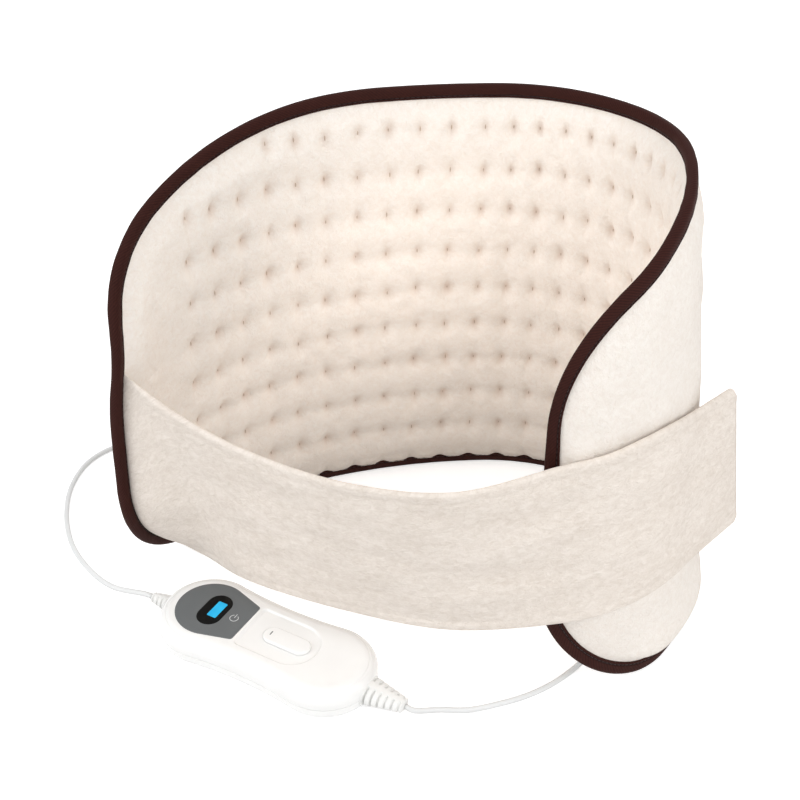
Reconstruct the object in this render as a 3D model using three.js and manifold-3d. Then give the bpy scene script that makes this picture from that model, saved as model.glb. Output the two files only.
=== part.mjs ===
import * as THREE from 'three';
import Module from 'manifold-3d';

// Heated waist belt with an inline controller, in millimetres, +Z up. The belt stands on its lower edge, bent
// as if round a waist, with the strap across the front (-Y) and the controller lying in front of it.

const wasm = await Module();
wasm.setup();

// Pad: flat pattern with straight lower edge, domed upper edge and round corners
const PAD_LENGTH = 660;
const PAD_HEIGHT = 300;
const CORNER_RADIUS = 90;
const DOME_RADIUS = 380;
const DOME_START = 215;

// Pad: the curve of the bent belt seen from above, as arcs of length and radius, and its inward lean
const PLAN_START = [-188.2, -24.7];
const PLAN_HEADING = 74;
const PLAN_ARCS = [[180, 189], [110, 366], [110, 132], [90, 105], [80, 132], [90, 84]];
const LEAN_LEFT = 7.9;
const LEAN_RIGHT = 22.8;
const LEAN_MIDDLE = 15.4;

// Pad: layers, measured from the mid surface, inward positive
const OUTER_COVER = 2.5;
const WADDING = 3.4;
const WIRE_SPACE = 2.5;
const LAYER_GAP = 0.3;
const OUTER_FACE = -6.5;
const HEM_THICKNESS = 2.6;
const MARGIN_RISE = 2.7;
const CROWN_RISE = 4.4;
const TUFT_SINK = 0.4;

// Pad: how thin the edge is pressed under the tape, and over what distance it swells to full thickness
const PINCH = 0.33;
const PINCH_REACH = 16;

// Pad: sewn tufts and heating wire
const TUFT_COLUMNS = 24;
const TUFT_PITCH = 20.8;
const TUFT_FIRST = 74;
const TUFT_ROWS = 9;
const TUFT_ROW_PITCH = 29.2;
const TUFT_ROW_FIRST = 40.6;
const TUFT_CLEAR = 4;
const WIRE_RADIUS = 0.8;
const WIRE_LOW = 44;
const WIRE_INSET = 30;
const CUTOUT_RADIUS = 0.9;
const CUTOUT_LENGTH = 16;

// Binding tape folded over the edge
const TAPE_WIDTH = 8;
const TAPE_THICKNESS = 1;
const TAPE_ROUND = 1.2;
const TAPE_GAP = 0.4;
const TAPE_EDGE_GAP = 0.9;

// Strap
const STRAP_THICKNESS = 4;
const STRAP_SEAM = 11;
const STRAP_SEAM_OFFSET = 8.5;
const STRAP_ROOT = [44, 172];
const STRAP_ON_PAD = -11.4;
const TAB_FROM = 18;
const TAB_LENGTH = 26;
const TAB_HEIGHTS = [60, 162];
const TAB_THICKNESS = 1.8;
const HOOK_THICKNESS = 1.7;
const HOOK_FIRST = 28;
const HOOK_LAST = 35;
const HOOK_MARGIN = 0.08;

// Controller body
const CONTROL_AT = [-98.9, -73.5];
const CONTROL_TURN = -30.1;
const BODY_LENGTH = 147;
const BODY_HEIGHT = 20;
const END_RADIUS = 31.5;
const WAIST_HALF = 28.5;
const WALL = 2.4;
const PARTING = 8;
const TOP_ROUND = 9;
const FOOT_ROUND = 5;
const FIT = 0.3;

// Controller face: panel, window, lit bar, recess and slide knob
const PANEL_LEFT = -63;
const PANEL_RIGHT = -14.5;
const PANEL_RADIUS = 22.5;
const PANEL_END_HALF = 16.2;
const PANEL_CORNER = 2;
const PANEL_DEPTH = 1;
const PANEL_THICKNESS = 0.9;
const WINDOW_AT = -38;
const WINDOW_SIZE = [16, 27];
const LIGHT_AT = [-36.6, 0.8];
const LIGHT_SIZE = [6.4, 13.6];
const RECESS_LEFT = -12.5;
const RECESS_RIGHT = 36;
const RECESS_HALF = 17;
const RECESS_CORNER = 3;
const RECESS_DEPTH = 1.3;
const KNOB_SIZE = [32, 13];
const KNOB_HEIGHT = 2.3;
const KNOB_AT = 15;
const KNOB_TRAVEL = 9;
const STEM_SIZE = [8, 4];
const TICK_FROM_END = 5;
const TICK_SIZE = [0.7, 3.4];
const TICK_DEPTH = 0.4;

// Controller inside: parts on the board reach up to a headroom below the top
const BOARD_FROM_END = 27.5;
const BOARD_SIZE = [BODY_LENGTH - 2 * BOARD_FROM_END, 36];
const BOARD_THICKNESS = 1.6;
const BOARD_HEIGHT = 5.4;
const RAIL_AT = 12;
const RAIL_WIDTH = 2;
const SCREW_FROM_END = 17;
const SCREW_ASIDE = 16;
const SCREW_HEAD = 2.8;
const SCREW_SHANK = 1.4;
const SCREW_LENGTH = 11;
const SCREW_SINK = 3;
const SCREW_CROSS = [3.2, 0.8];
const BOSS_RADIUS = 4.4;
const MODULE = { at: [-37.5, 0], size: [17, 22] };
const SWITCH_HALF = 6;
const SWITCH_WALL = 3;
const SWITCH_HEADROOM = 1.3;
const CAPACITOR = { at: [-15.5, 7], size: [13, 6], headroom: 2.3 };
const TRIAC = { at: [-15, -6.75], size: [10, 4.5], headroom: 3.3 };
const TRIAC_TAB = { at: [-15, -4.3], size: [10, 1.4], headroom: 1.3 };
const FUSE = { at: [-21, 14.5], length: 16, radius: 2.4, cap: 3.5, capRadius: 2.6 };
const MAINS_BLOCK = { at: [4.8 - BOARD_SIZE[0] / 2, 15], size: [8.6, 5.2], headroom: 3.3 };
const PAD_BLOCK = { at: [BOARD_SIZE[0] / 2 - 6.5, 0], size: [11, 18], headroom: 3.3 };

// Cords
const CORD_RADIUS = 1.75;
const CORD_HEIGHT = PARTING + FIT / 2;
const MAINS_RELIEF = { length: 13, root: 6.4, tip: 3, wide: 1, ribs: 4 };
const PAD_RELIEF = { length: 23, root: 7.2, tip: 3.4, wide: 1.55, ribs: 6 };
const NECK = 3.4;
const FLANGE = 4.9;
const FLANGE_THICKNESS = 2;
const GLAND_AT = [590, 17];
const GLAND_LENGTH = 34;
const GLAND_HALF = 6;
const GLAND_WIDE = 1.15;
const COIL_AT = [-48, 176.5];
const COIL_INNER = 18.5;
const COIL_GAP = 1.2;
const COIL_TURNS = 4;
const COIL_STEPS = 24;
const COIL_STUB = 7;
const COIL_LEAD = 8;
const PLUG_LEAD = 10;
const TIE_THICKNESS = 1;
const TIE_WIDTH = 8;

// Mains plug
const PLUG_START = -90;
const PLUG_HEIGHT = 7;
const PLUG_RELIEF = { length: 14.5, root: 4.7, tip: 2.9, ribs: 5 };
const PLUG_LENGTH = 34.7;
const PLUG_HALF = [13.4, 6.9];
const PIN_RADIUS = 2;
const PIN_LENGTH = 19;
const PIN_APART = 18.6;

const CREAM = new THREE.MeshStandardMaterial({ color: 0xf0e6dc, roughness: 0.95 });
const CREAM_BACK = new THREE.MeshStandardMaterial({ color: 0xe9dfd5, roughness: 0.95 });
const BROWN_TAPE = new THREE.MeshStandardMaterial({ color: 0x33201c, roughness: 0.85 });
const WADDING_WHITE = new THREE.MeshStandardMaterial({ color: 0xf6f4ee, roughness: 1 });
const WIRE_RED = new THREE.MeshStandardMaterial({ color: 0xb8453a, roughness: 0.5 });
const WHITE_GLOSS = new THREE.MeshStandardMaterial({ color: 0xf7f7f6, roughness: 0.25 });
const WHITE_CORD = new THREE.MeshStandardMaterial({ color: 0xf2f2f0, roughness: 0.45 });
const GREY_PANEL = new THREE.MeshStandardMaterial({ color: 0x75797b, roughness: 0.35 });
const DARK_WINDOW = new THREE.MeshStandardMaterial({ color: 0x08090b, roughness: 0.1 });
const BLUE_LIGHT = new THREE.MeshStandardMaterial({ color: 0x2cabd8, emissive: 0x2cabd8 });
const BOARD_GREEN = new THREE.MeshStandardMaterial({ color: 0x2c6a45, roughness: 0.6 });
const DARK_PLASTIC = new THREE.MeshStandardMaterial({ color: 0x26282a, roughness: 0.6 });
const STEEL = new THREE.MeshStandardMaterial({ color: 0xb9bcbe, metalness: 1, roughness: 0.3 });
const NICKEL = new THREE.MeshStandardMaterial({ color: 0xcfcbc0, metalness: 1, roughness: 0.25 });

const group = new THREE.Group();
const radians = THREE.MathUtils.degToRad;

function addMesh(name, geometry, material) {
  const mesh = new THREE.Mesh(geometry, material);
  mesh.name = name;
  group.add(mesh);
}

// A closed solid from points and triangles, turned so that its faces look outward
function closedSolid(points, faces) {
  let volume = 0;
  for (const [a, b, c] of faces) {
    const [p, q, r] = [points[a], points[b], points[c]].map((v) => new THREE.Vector3(...v));
    volume += p.dot(q.cross(r));
  }
  const turned = volume < 0 ? faces.map(([a, b, c]) => [a, c, b]) : faces;
  const geometry = new THREE.BufferGeometry();
  geometry.setAttribute('position', new THREE.Float32BufferAttribute(points.flat(), 3));
  geometry.setIndex(turned.flat());
  geometry.computeVertexNormals();
  return geometry;
}

// A skin through rings of equal count, closed on itself or ended by fans round each end's centre
function loft(rings, loop = false) {
  const count = rings[0].length;
  const points = rings.flat();
  const faces = [];
  const spans = loop ? rings.length : rings.length - 1;
  for (let i = 0; i < spans; i += 1) {
    const a = i * count;
    const b = ((i + 1) % rings.length) * count;
    for (let j = 0; j < count; j += 1) {
      const k = (j + 1) % count;
      faces.push([a + j, b + j, b + k], [a + j, b + k, a + k]);
    }
  }
  if (!loop) {
    const end = (rings.length - 1) * count;
    const centres = [rings[0], rings[rings.length - 1]].map((ring) =>
      [0, 1, 2].map((axis) => ring.reduce((sum, point) => sum + point[axis], 0) / count));
    const first = points.push(centres[0]) - 1;
    const second = points.push(centres[1]) - 1;
    for (let j = 0; j < count; j += 1) {
      const k = (j + 1) % count;
      faces.push([j, k, first], [end + k, end + j, second]);
    }
  }
  return closedSolid(points, faces);
}

function toManifold(geometry) {
  return new wasm.Manifold(new wasm.Mesh({
    numProp: 3,
    vertProperties: new Float32Array(geometry.getAttribute('position').array),
    triVerts: new Uint32Array(geometry.getIndex().array),
  }));
}

function fromManifold(solid) {
  const { vertProperties, triVerts, numProp } = solid.getMesh();
  const geometry = new THREE.BufferGeometry();
  const positions = [];
  for (let i = 0; i < vertProperties.length; i += numProp) {
    positions.push(vertProperties[i], vertProperties[i + 1], vertProperties[i + 2]);
  }
  geometry.setAttribute('position', new THREE.Float32BufferAttribute(positions, 3));
  geometry.setIndex([...triVerts]);
  geometry.computeVertexNormals();
  return geometry;
}

// A round tube along points, with a fixed up direction or one for each point
function tube(path, radius, sides, ups = [[0, 0, 1]]) {
  const spots = path.map((point) => new THREE.Vector3(...point));
  const rings = spots.map((spot, i) => {
    const before = spots[Math.max(i - 1, 0)];
    const after = spots[Math.min(i + 1, spots.length - 1)];
    const along = after.clone().sub(before).normalize();
    const side = along.clone().cross(new THREE.Vector3(...ups[Math.min(i, ups.length - 1)])).normalize();
    const up = side.clone().cross(along);
    const ring = [];
    for (let j = 0; j < sides; j += 1) {
      const angle = ((j + 0.5) / sides) * Math.PI * 2;
      const point = spot.clone().addScaledVector(side, radius * Math.cos(angle));
      point.addScaledVector(up, radius * Math.sin(angle));
      ring.push(point.toArray());
    }
    return ring;
  });
  return loft(rings);
}

// Pad surface

function planAt(s) {
  let [x, y] = PLAN_START;
  let heading = radians(PLAN_HEADING);
  let left = s;
  for (const [length, radius] of PLAN_ARCS) {
    const turn = Math.min(left, length) / radius;
    x += radius * (Math.sin(heading) - Math.sin(heading - turn));
    y += radius * (Math.cos(heading - turn) - Math.cos(heading));
    heading -= turn;
    left -= Math.min(left, length);
  }
  return { x, y, heading };
}

// The point at s along the belt and z up, at a distance inward from the mid surface
function padPoint(s, z, offset) {
  const { x, y, heading } = planAt(s);
  const part = s / PAD_LENGTH;
  const lean = LEAN_LEFT + (LEAN_RIGHT - LEAN_LEFT) * part + LEAN_MIDDLE * 4 * part * (1 - part);
  const inward = offset + lean * (z / PAD_HEIGHT);
  return [x + Math.sin(heading) * inward, y - Math.cos(heading) * inward, z];
}

const DOME_REACH = DOME_RADIUS - CORNER_RADIUS;
const DOME_CENTRE = PAD_HEIGHT - DOME_RADIUS;
const CORNER_TOP = DOME_CENTRE + Math.sqrt(DOME_REACH ** 2 - (DOME_START - CORNER_RADIUS) ** 2);

function lowerEdge(s, inset) {
  const fromEnd = Math.min(s, PAD_LENGTH - s);
  if (fromEnd >= CORNER_RADIUS) return inset;
  const inside = (CORNER_RADIUS - inset) ** 2 - (CORNER_RADIUS - fromEnd) ** 2;
  return CORNER_RADIUS - Math.sqrt(Math.max(inside, 0));
}

function upperEdge(s, inset) {
  const fromEnd = Math.min(s, PAD_LENGTH - s);
  const join = DOME_START + (DOME_RADIUS - inset) * ((CORNER_RADIUS - DOME_START) / DOME_REACH);
  if (fromEnd >= DOME_START) return PAD_HEIGHT - inset;
  if (fromEnd >= join) {
    return DOME_CENTRE + Math.sqrt((DOME_RADIUS - inset) ** 2 - (DOME_START - fromEnd) ** 2);
  }
  const inside = (CORNER_RADIUS - inset) ** 2 - (CORNER_RADIUS - fromEnd) ** 2;
  return CORNER_TOP + Math.sqrt(Math.max(inside, 0));
}

// Distance in the flat pattern from a point to the nearest edge
function edgeDistance(s, z) {
  const fromEnd = Math.min(s, PAD_LENGTH - s);
  const beside = CORNER_RADIUS - fromEnd;
  if (beside > 0 && z < CORNER_RADIUS) return CORNER_RADIUS - Math.hypot(beside, CORNER_RADIUS - z);
  const steep = (CORNER_TOP - DOME_CENTRE) / (DOME_START - CORNER_RADIUS);
  const above = z - CORNER_TOP;
  if (beside > 0 && above > 0 && above < steep * beside) return CORNER_RADIUS - Math.hypot(beside, above);
  const dome = DOME_RADIUS - Math.hypot(Math.max(DOME_START - fromEnd, 0), z - DOME_CENTRE);
  return Math.min(fromEnd, z, dome);
}

// Places along the belt where every layer has its points: round the corners, at each tuft and between tufts
const HEM = TAPE_WIDTH + TAPE_EDGE_GAP;
const LAYER_INSET = TAPE_THICKNESS + TAPE_EDGE_GAP;
const HEM_ANGLE = THREE.MathUtils.radToDeg(Math.acos((CORNER_RADIUS - HEM) / (CORNER_RADIUS - LAYER_INSET)));
const CORNER_STEPS = [0, HEM_ANGLE / 2, HEM_ANGLE, 34, 45, 60, 75];
const TUFT_LAST = TUFT_FIRST + (TUFT_COLUMNS - 1) * TUFT_PITCH;
const FILL_STEPS = 3;

function stationsFor(inset) {
  const reach = CORNER_RADIUS - inset;
  const ends = CORNER_STEPS.map((angle) => CORNER_RADIUS - reach * Math.cos(radians(angle)));
  const stations = ends.map((s) => ({ s, kind: 'margin' }));
  for (let i = 0; i < TUFT_COLUMNS * 2 - 1; i += 1) {
    stations.push({ s: TUFT_FIRST + (i * TUFT_PITCH) / 2, kind: i % 2 ? 'crown' : 'tuft' });
  }
  const lastEnd = PAD_LENGTH - ends[ends.length - 1];
  for (let i = 1; i <= FILL_STEPS; i += 1) {
    stations.push({ s: TUFT_LAST + ((lastEnd - TUFT_LAST) * i) / (FILL_STEPS + 1), kind: 'margin' });
  }
  for (const s of [...ends].reverse()) stations.push({ s: PAD_LENGTH - s, kind: 'margin' });
  return stations;
}

const OUTER_BACK = OUTER_FACE + OUTER_COVER;
const WADDING_FROM = OUTER_BACK + LAYER_GAP;
const WADDING_TO = WADDING_FROM + WADDING;
const INNER_BACK = WADDING_TO + WIRE_SPACE;
const HEM_FACE = INNER_BACK + HEM_THICKNESS;
const PINCH_CENTRE = (OUTER_FACE + HEM_FACE) / 2;

// How far the pad has swollen at a point: 0 under the tape, 1 at full thickness
function swell(s, z) {
  const part = THREE.MathUtils.clamp((edgeDistance(s, z) - HEM) / PINCH_REACH, 0, 1);
  return 1 - (1 - part) ** 2;
}

// The distance from the mid surface that a layer keeps where the pad is pinched
function pinched(s, z, offset) {
  return PINCH_CENTRE + (offset - PINCH_CENTRE) * (PINCH + (1 - PINCH) * swell(s, z));
}

// Heights of a layer's points at one station: edge, hem, on the way up to full thickness, and there
const EDGE_STEPS = [HEM, HEM + 0.3 * PINCH_REACH, HEM + PINCH_REACH];
const LEAST_STEP = 0.02;

function edgeRows(s) {
  const lows = [lowerEdge(s, LAYER_INSET)];
  const highs = [upperEdge(s, LAYER_INSET)];
  const least = LEAST_STEP * (highs[0] - lows[0]);
  EDGE_STEPS.forEach((inset, i) => {
    lows.push(Math.max(lowerEdge(s, inset), lows[i] + least));
    highs.push(Math.min(upperEdge(s, inset), highs[i] - least));
  });
  return [...lows, ...highs.reverse()];
}

// Triangles between two columns of points, stepping up whichever column is behind
function zip(a, b) {
  const faces = [];
  let [m, n] = [0, 0];
  while (m + 1 < a.length || n + 1 < b.length) {
    const stepA = n + 1 >= b.length || (m + 1 < a.length && a[m + 1].height <= b[n + 1].height);
    faces.push([a[m].index, b[n].index, stepA ? a[m + 1].index : b[n + 1].index]);
    if (stepA) m += 1;
    else n += 1;
  }
  return faces;
}

// A closed layer of the pad from the rows of its two faces at each station: height and distance.
// Points are joined by their share of the height between the two hems, so that hem joins hem all along.
function padLayer(frontRows, backRows) {
  const points = [];
  const faces = [];
  const columns = stationsFor(LAYER_INSET).map((station) => [frontRows, backRows].map((rowsAt) => {
    const rows = rowsAt(station);
    const [low, high] = [rows[1][0], rows[rows.length - 2][0]];
    return rows.map(([z, offset]) => ({
      height: (z - low) / (high - low),
      index: points.push(padPoint(station.s, z, pinched(station.s, z, offset))) - 1,
    }));
  }));
  for (let i = 0; i + 1 < columns.length; i += 1) {
    const [[front, back], [nextFront, nextBack]] = [columns[i], columns[i + 1]];
    faces.push(...zip(front, nextFront), ...zip(back, nextBack).map(([a, b, c]) => [a, c, b]));
    const foot = [front[0], back[0], nextBack[0], nextFront[0]].map(({ index }) => index);
    const head = [front, nextFront, nextBack, back].map((column) => column[column.length - 1].index);
    for (const [a, b, c, d] of [foot, head]) faces.push([a, b, c], [a, c, d]);
  }
  const [first, last] = [columns[0], columns[columns.length - 1]];
  faces.push(...zip(first[1], first[0]), ...zip(last[0], last[1]));
  return closedSolid(points, faces);
}

const levelRows = (offset) => ({ s }) => edgeRows(s).map((z) => [z, offset]);

// Rows of the quilted face at one station: pillows between the tufts, and a margin that swells from the tape
function quiltRows({ s, kind }) {
  const rows = edgeRows(s).map((z) => [z, HEM_FACE + (kind === 'margin' ? MARGIN_RISE * swell(s, z) : 0)]);
  if (kind === 'margin') return rows;
  const crown = kind === 'crown';
  const top = upperEdge(s, HEM);
  for (let i = 0; i < (crown ? TUFT_ROWS + 1 : TUFT_ROWS); i += 1) {
    const z = TUFT_ROW_FIRST + (crown ? i - 0.5 : i) * TUFT_ROW_PITCH;
    if (z < top - TUFT_CLEAR) rows.push([z, crown ? HEM_FACE + CROWN_RISE : HEM_FACE - TUFT_SINK]);
  }
  return rows.sort((a, b) => a[0] - b[0]);
}

addMesh('pad_outer_cover', padLayer(levelRows(OUTER_BACK), levelRows(OUTER_FACE)), CREAM_BACK);
addMesh('pad_wadding', padLayer(levelRows(WADDING_TO), levelRows(WADDING_FROM)), WADDING_WHITE);
addMesh('pad_inner_cover', padLayer(quiltRows, levelRows(INNER_BACK)), CREAM);

// Heating wire: one run up or down between each two columns of tufts
const WIRE_OFFSET = (WADDING_TO + INNER_BACK) / 2;

function wirePath() {
  const path = [];
  const reach = TUFT_PITCH / 2;
  for (let i = 0; i < TUFT_COLUMNS - 1; i += 1) {
    const s = TUFT_FIRST + (i + 0.5) * TUFT_PITCH;
    const top = Math.min(upperEdge(s, WIRE_INSET), upperEdge(s + TUFT_PITCH, WIRE_INSET),
      upperEdge(s - TUFT_PITCH, WIRE_INSET)) - reach;
    const rising = i % 2 === 0;
    path.push([s, rising ? WIRE_LOW : top], [s, rising ? top : WIRE_LOW]);
    if (i === TUFT_COLUMNS - 2) break;
    const nextTop = Math.min(upperEdge(s, WIRE_INSET), upperEdge(s + 2 * TUFT_PITCH, WIRE_INSET),
      upperEdge(s + TUFT_PITCH, WIRE_INSET)) - reach;
    for (const angle of [30, 60, 90, 120, 150]) {
      const across = s + reach - reach * Math.cos(radians(angle));
      const start = rising ? top + (nextTop - top) * (angle / 180) : WIRE_LOW;
      path.push([across, start + (rising ? 1 : -1) * reach * Math.sin(radians(angle))]);
    }
  }
  return path;
}

const wire = wirePath();
const wireUps = wire.map(([s]) => {
  const { heading } = planAt(s);
  return [Math.sin(heading), -Math.cos(heading), 0];
});
const wireSpots = wire.map(([s, z]) => padPoint(s, z, WIRE_OFFSET));
addMesh('heating_wire', tube(wireSpots, WIRE_RADIUS, 4, wireUps), WIRE_RED);

for (const [name, column] of [['thermal_cutout_left', 6], ['thermal_cutout_right', 17]]) {
  const s = TUFT_FIRST + column * TUFT_PITCH;
  const low = PAD_HEIGHT / 2 - CUTOUT_LENGTH / 2;
  const ends = [low, low + CUTOUT_LENGTH].map((z) => padPoint(s, z, WIRE_OFFSET));
  addMesh(name, tube(ends, CUTOUT_RADIUS, 8, [[1, 0, 0]]), STEEL);
}

// Binding tape: a folded strip that wraps the edge all round
function outlineLoop() {
  const loop = [];
  const stations = stationsFor(0);
  const edge = (s, low) => {
    const fromEnd = Math.min(s, PAD_LENGTH - s);
    const side = s < PAD_LENGTH / 2 ? 1 : -1;
    const z = low ? lowerEdge(s, 0) : upperEdge(s, 0);
    let centre = [fromEnd, low ? PAD_HEIGHT : 0];
    if (fromEnd < CORNER_RADIUS && low) centre = [CORNER_RADIUS, CORNER_RADIUS];
    const join = DOME_START + DOME_RADIUS * ((CORNER_RADIUS - DOME_START) / DOME_REACH);
    if (!low && fromEnd < DOME_START) centre = [DOME_START, DOME_CENTRE];
    if (!low && fromEnd < join) centre = [CORNER_RADIUS, CORNER_TOP];
    const length = Math.hypot(centre[0] - fromEnd, centre[1] - z);
    return { s, z, inward: [(side * (centre[0] - fromEnd)) / length, (centre[1] - z) / length] };
  };
  for (const { s } of stations) loop.push(edge(s, true));
  for (const { s } of [...stations].reverse()) loop.push(edge(s, false));
  return loop;
}

const TAPE_INSIDE = PINCH * (HEM_FACE - PINCH_CENTRE) + TAPE_GAP;
const TAPE_OUTSIDE = TAPE_INSIDE + TAPE_THICKNESS;
const TAPE_LEG = [
  [TAPE_THICKNESS, TAPE_INSIDE], [TAPE_WIDTH, TAPE_INSIDE], [TAPE_WIDTH, TAPE_OUTSIDE],
  [TAPE_ROUND, TAPE_OUTSIDE], [0, TAPE_OUTSIDE - TAPE_ROUND],
];
const TAPE_SECTION = [
  ...TAPE_LEG.map(([depth, side]) => [depth, PINCH_CENTRE + side]),
  ...[...TAPE_LEG].reverse().map(([depth, side]) => [depth, PINCH_CENTRE - side]),
];

addMesh('edge_binding', loft(outlineLoop().map(({ s, z, inward }) => TAPE_SECTION.map(([depth, offset]) =>
  padPoint(s + inward[0] * depth, z + inward[1] * depth, offset))), true), BROWN_TAPE);

// Strap: sewn to the left end, across the front, against the outside of the right end, its tip standing free
const STRAP_PAIRS = [
  STRAP_ROOT.map((z) => padPoint(STRAP_SEAM, z, STRAP_SEAM_OFFSET)),
  [[-154, -24.5, 51], [-152, -35.5, 160]],
  [[-107, -62.5, 52], [-107, -70.5, 157]],
  [[-47, -92.5, 56], [-47, -106.5, 161]],
  [[10, -111.5, 60], [10, -118.5, 164]],
  ...[[650, 62, 168], [625, 66, 173], [600, 69, 177], [575, 70, 176], [552, 67, 170]].map(([s, low, high]) =>
    [padPoint(s, low, STRAP_ON_PAD), padPoint(s, high, STRAP_ON_PAD)]),
  [[188, -16.5, 60], [172, -26.5, 167]],
];
const STRAP_STEPS = 40;

const [strapLow, strapHigh] = [0, 1].map((edge) =>
  new THREE.CatmullRomCurve3(STRAP_PAIRS.map((pair) => new THREE.Vector3(...pair[edge]))));

// The point at a part of the strap's length and a part of its width, at a distance towards the wearer
function strapPoint(part, rise, offset) {
  const point = strapLow.getPoint(part).lerp(strapHigh.getPoint(part), rise);
  const along = strapLow.getTangent(part).lerp(strapHigh.getTangent(part), 0.5);
  const length = Math.hypot(along.x, along.y);
  return [point.x - (along.y / length) * offset, point.y + (along.x / length) * offset, point.z];
}

function strapLayer(from, to, start, end, margin, steps) {
  const rings = [];
  for (let i = 0; i <= steps; i += 1) {
    const part = start + ((end - start) * i) / steps;
    rings.push([[margin, from], [1 - margin, from], [1 - margin, to], [margin, to]]
      .map(([rise, offset]) => strapPoint(part, rise, offset)));
  }
  return loft(rings);
}

addMesh('strap', strapLayer(-STRAP_THICKNESS / 2, STRAP_THICKNESS / 2, 0, 1, 0, STRAP_STEPS), CREAM);
const HOOK_FROM = STRAP_THICKNESS / 2 + FIT;
addMesh('strap_hook_patch', strapLayer(HOOK_FROM, HOOK_FROM + HOOK_THICKNESS, HOOK_FIRST / STRAP_STEPS,
  HOOK_LAST / STRAP_STEPS, HOOK_MARGIN, HOOK_LAST - HOOK_FIRST), CREAM_BACK);

// The margin's face where there are no tufts
function marginFace(s, z) {
  return pinched(s, z, HEM_FACE + MARGIN_RISE * swell(s, z));
}

const TAB_STOPS = [0, 0.4, 0.7, 1];
const [tabLow, tabHigh] = TAB_HEIGHTS;
addMesh('strap_seam_tab', loft(TAB_STOPS.map((part) => {
  const s = TAB_FROM + part * TAB_LENGTH;
  const under = marginFace(s, (tabLow + tabHigh) / 2) + FIT;
  const over = under + TAB_THICKNESS;
  return [[tabLow, under], [tabHigh, under], [tabHigh, over], [tabLow, over]]
    .map(([z, offset]) => padPoint(s, z, offset));
})), CREAM);

// Cable gland moulded on to the inner face near the right end, tapering along the belt to its mouth
const GLAND_SEAT = GLAND_AT[0] - GLAND_LENGTH / 3;
const GLAND_CENTRE = marginFace(GLAND_SEAT, GLAND_AT[1]) + FIT + GLAND_HALF;

function gland() {
  const sizes = [[0, 0.55], [0.06, 0.85], [0.16, 1], [0.5, 0.95], [0.56, 0.8], [0.62, 0.85], [0.68, 0.7],
    [0.74, 0.76], [0.8, 0.62], [0.86, 0.68], [0.92, 0.56], [1, 0.56]];
  return loft(sizes.map(([part, size]) => {
    const ring = [];
    for (let j = 0; j < 14; j += 1) {
      const angle = (j / 14) * Math.PI * 2;
      const s = GLAND_AT[0] - GLAND_LENGTH * (0.5 - part);
      ring.push(padPoint(s, GLAND_AT[1] + GLAND_HALF * size * GLAND_WIDE * Math.cos(angle),
        GLAND_CENTRE + GLAND_HALF * size * Math.sin(angle)));
    }
    return ring;
  }));
}
addMesh('pad_cable_gland', gland(), WHITE_CORD);

// Controller

const controlPlace = new THREE.Matrix4().makeRotationZ(radians(CONTROL_TURN));
controlPlace.setPosition(CONTROL_AT[0], CONTROL_AT[1], 0);

function addControl(name, solid, material) {
  const geometry = solid.isBufferGeometry ? solid : fromManifold(solid);
  addMesh(name, geometry.applyMatrix4(controlPlace), material);
}

// The waisted outline: two round ends joined by hollow sides, drawn in by an inset
const END_CENTRE = BODY_LENGTH / 2 - END_RADIUS;
const SIDE_RADIUS = (END_CENTRE ** 2 + WAIST_HALF ** 2 - END_RADIUS ** 2) / (2 * (END_RADIUS - WAIST_HALF));
const SIDE_CENTRE = SIDE_RADIUS + WAIST_HALF;

function bodyOutline(inset, w) {
  const join = Math.atan2(SIDE_CENTRE, -END_CENTRE);
  const half = Math.atan2(END_CENTRE, SIDE_CENTRE);
  const right = [];
  for (let i = 0; i <= 14; i += 1) {
    const angle = -join + (2 * join * i) / 14;
    const radius = END_RADIUS - inset;
    right.push([END_CENTRE + radius * Math.cos(angle), radius * Math.sin(angle), w]);
  }
  const upper = [];
  for (let i = 1; i < 8; i += 1) {
    const angle = -Math.PI / 2 + half - (2 * half * i) / 8;
    const radius = SIDE_RADIUS + inset;
    upper.push([radius * Math.cos(angle), SIDE_CENTRE + radius * Math.sin(angle), w]);
  }
  const turned = ([u, v, height]) => [-u, -v, height];
  return [...right, ...upper, ...right.map(turned), ...upper.map(turned)];
}

function roundedBody(inset, low, high, lowRound, highRound) {
  const rings = [];
  for (let i = 4; i >= 0 && lowRound > 0; i -= 1) {
    const angle = (i / 4) * (Math.PI / 2);
    const drawn = inset + lowRound * (1 - Math.cos(angle));
    rings.push(bodyOutline(drawn, low + lowRound * (1 - Math.sin(angle))));
  }
  if (lowRound === 0) rings.push(bodyOutline(inset, low));
  if (highRound === 0) rings.push(bodyOutline(inset, high));
  for (let i = 0; i <= 5 && highRound > 0; i += 1) {
    const angle = (i / 5) * (Math.PI / 2);
    const drawn = inset + highRound * (1 - Math.cos(angle));
    rings.push(bodyOutline(drawn, high - highRound * (1 - Math.sin(angle))));
  }
  return toManifold(loft(rings));
}

function prism(outline, low, high) {
  return toManifold(loft([low, high].map((w) => outline.map(([u, v]) => [u, v, w]))));
}

function box(u, v, w) {
  return prism([[u[0], v[0]], [u[1], v[0]], [u[1], v[1]], [u[0], v[1]]], w[0], w[1]);
}

function circle(u, v, radius, sides = 12) {
  const points = [];
  for (let j = 0; j < sides; j += 1) {
    const angle = (j / sides) * Math.PI * 2;
    points.push([u + radius * Math.cos(angle), v + radius * Math.sin(angle)]);
  }
  return points;
}

// Points of an arc about a centre
function arc(at, radius, from, to, steps) {
  const points = [];
  for (let i = 0; i <= steps; i += 1) {
    const angle = from + ((to - from) * i) / steps;
    points.push([at[0] + radius * Math.cos(angle), at[1] + radius * Math.sin(angle)]);
  }
  return points;
}

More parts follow.
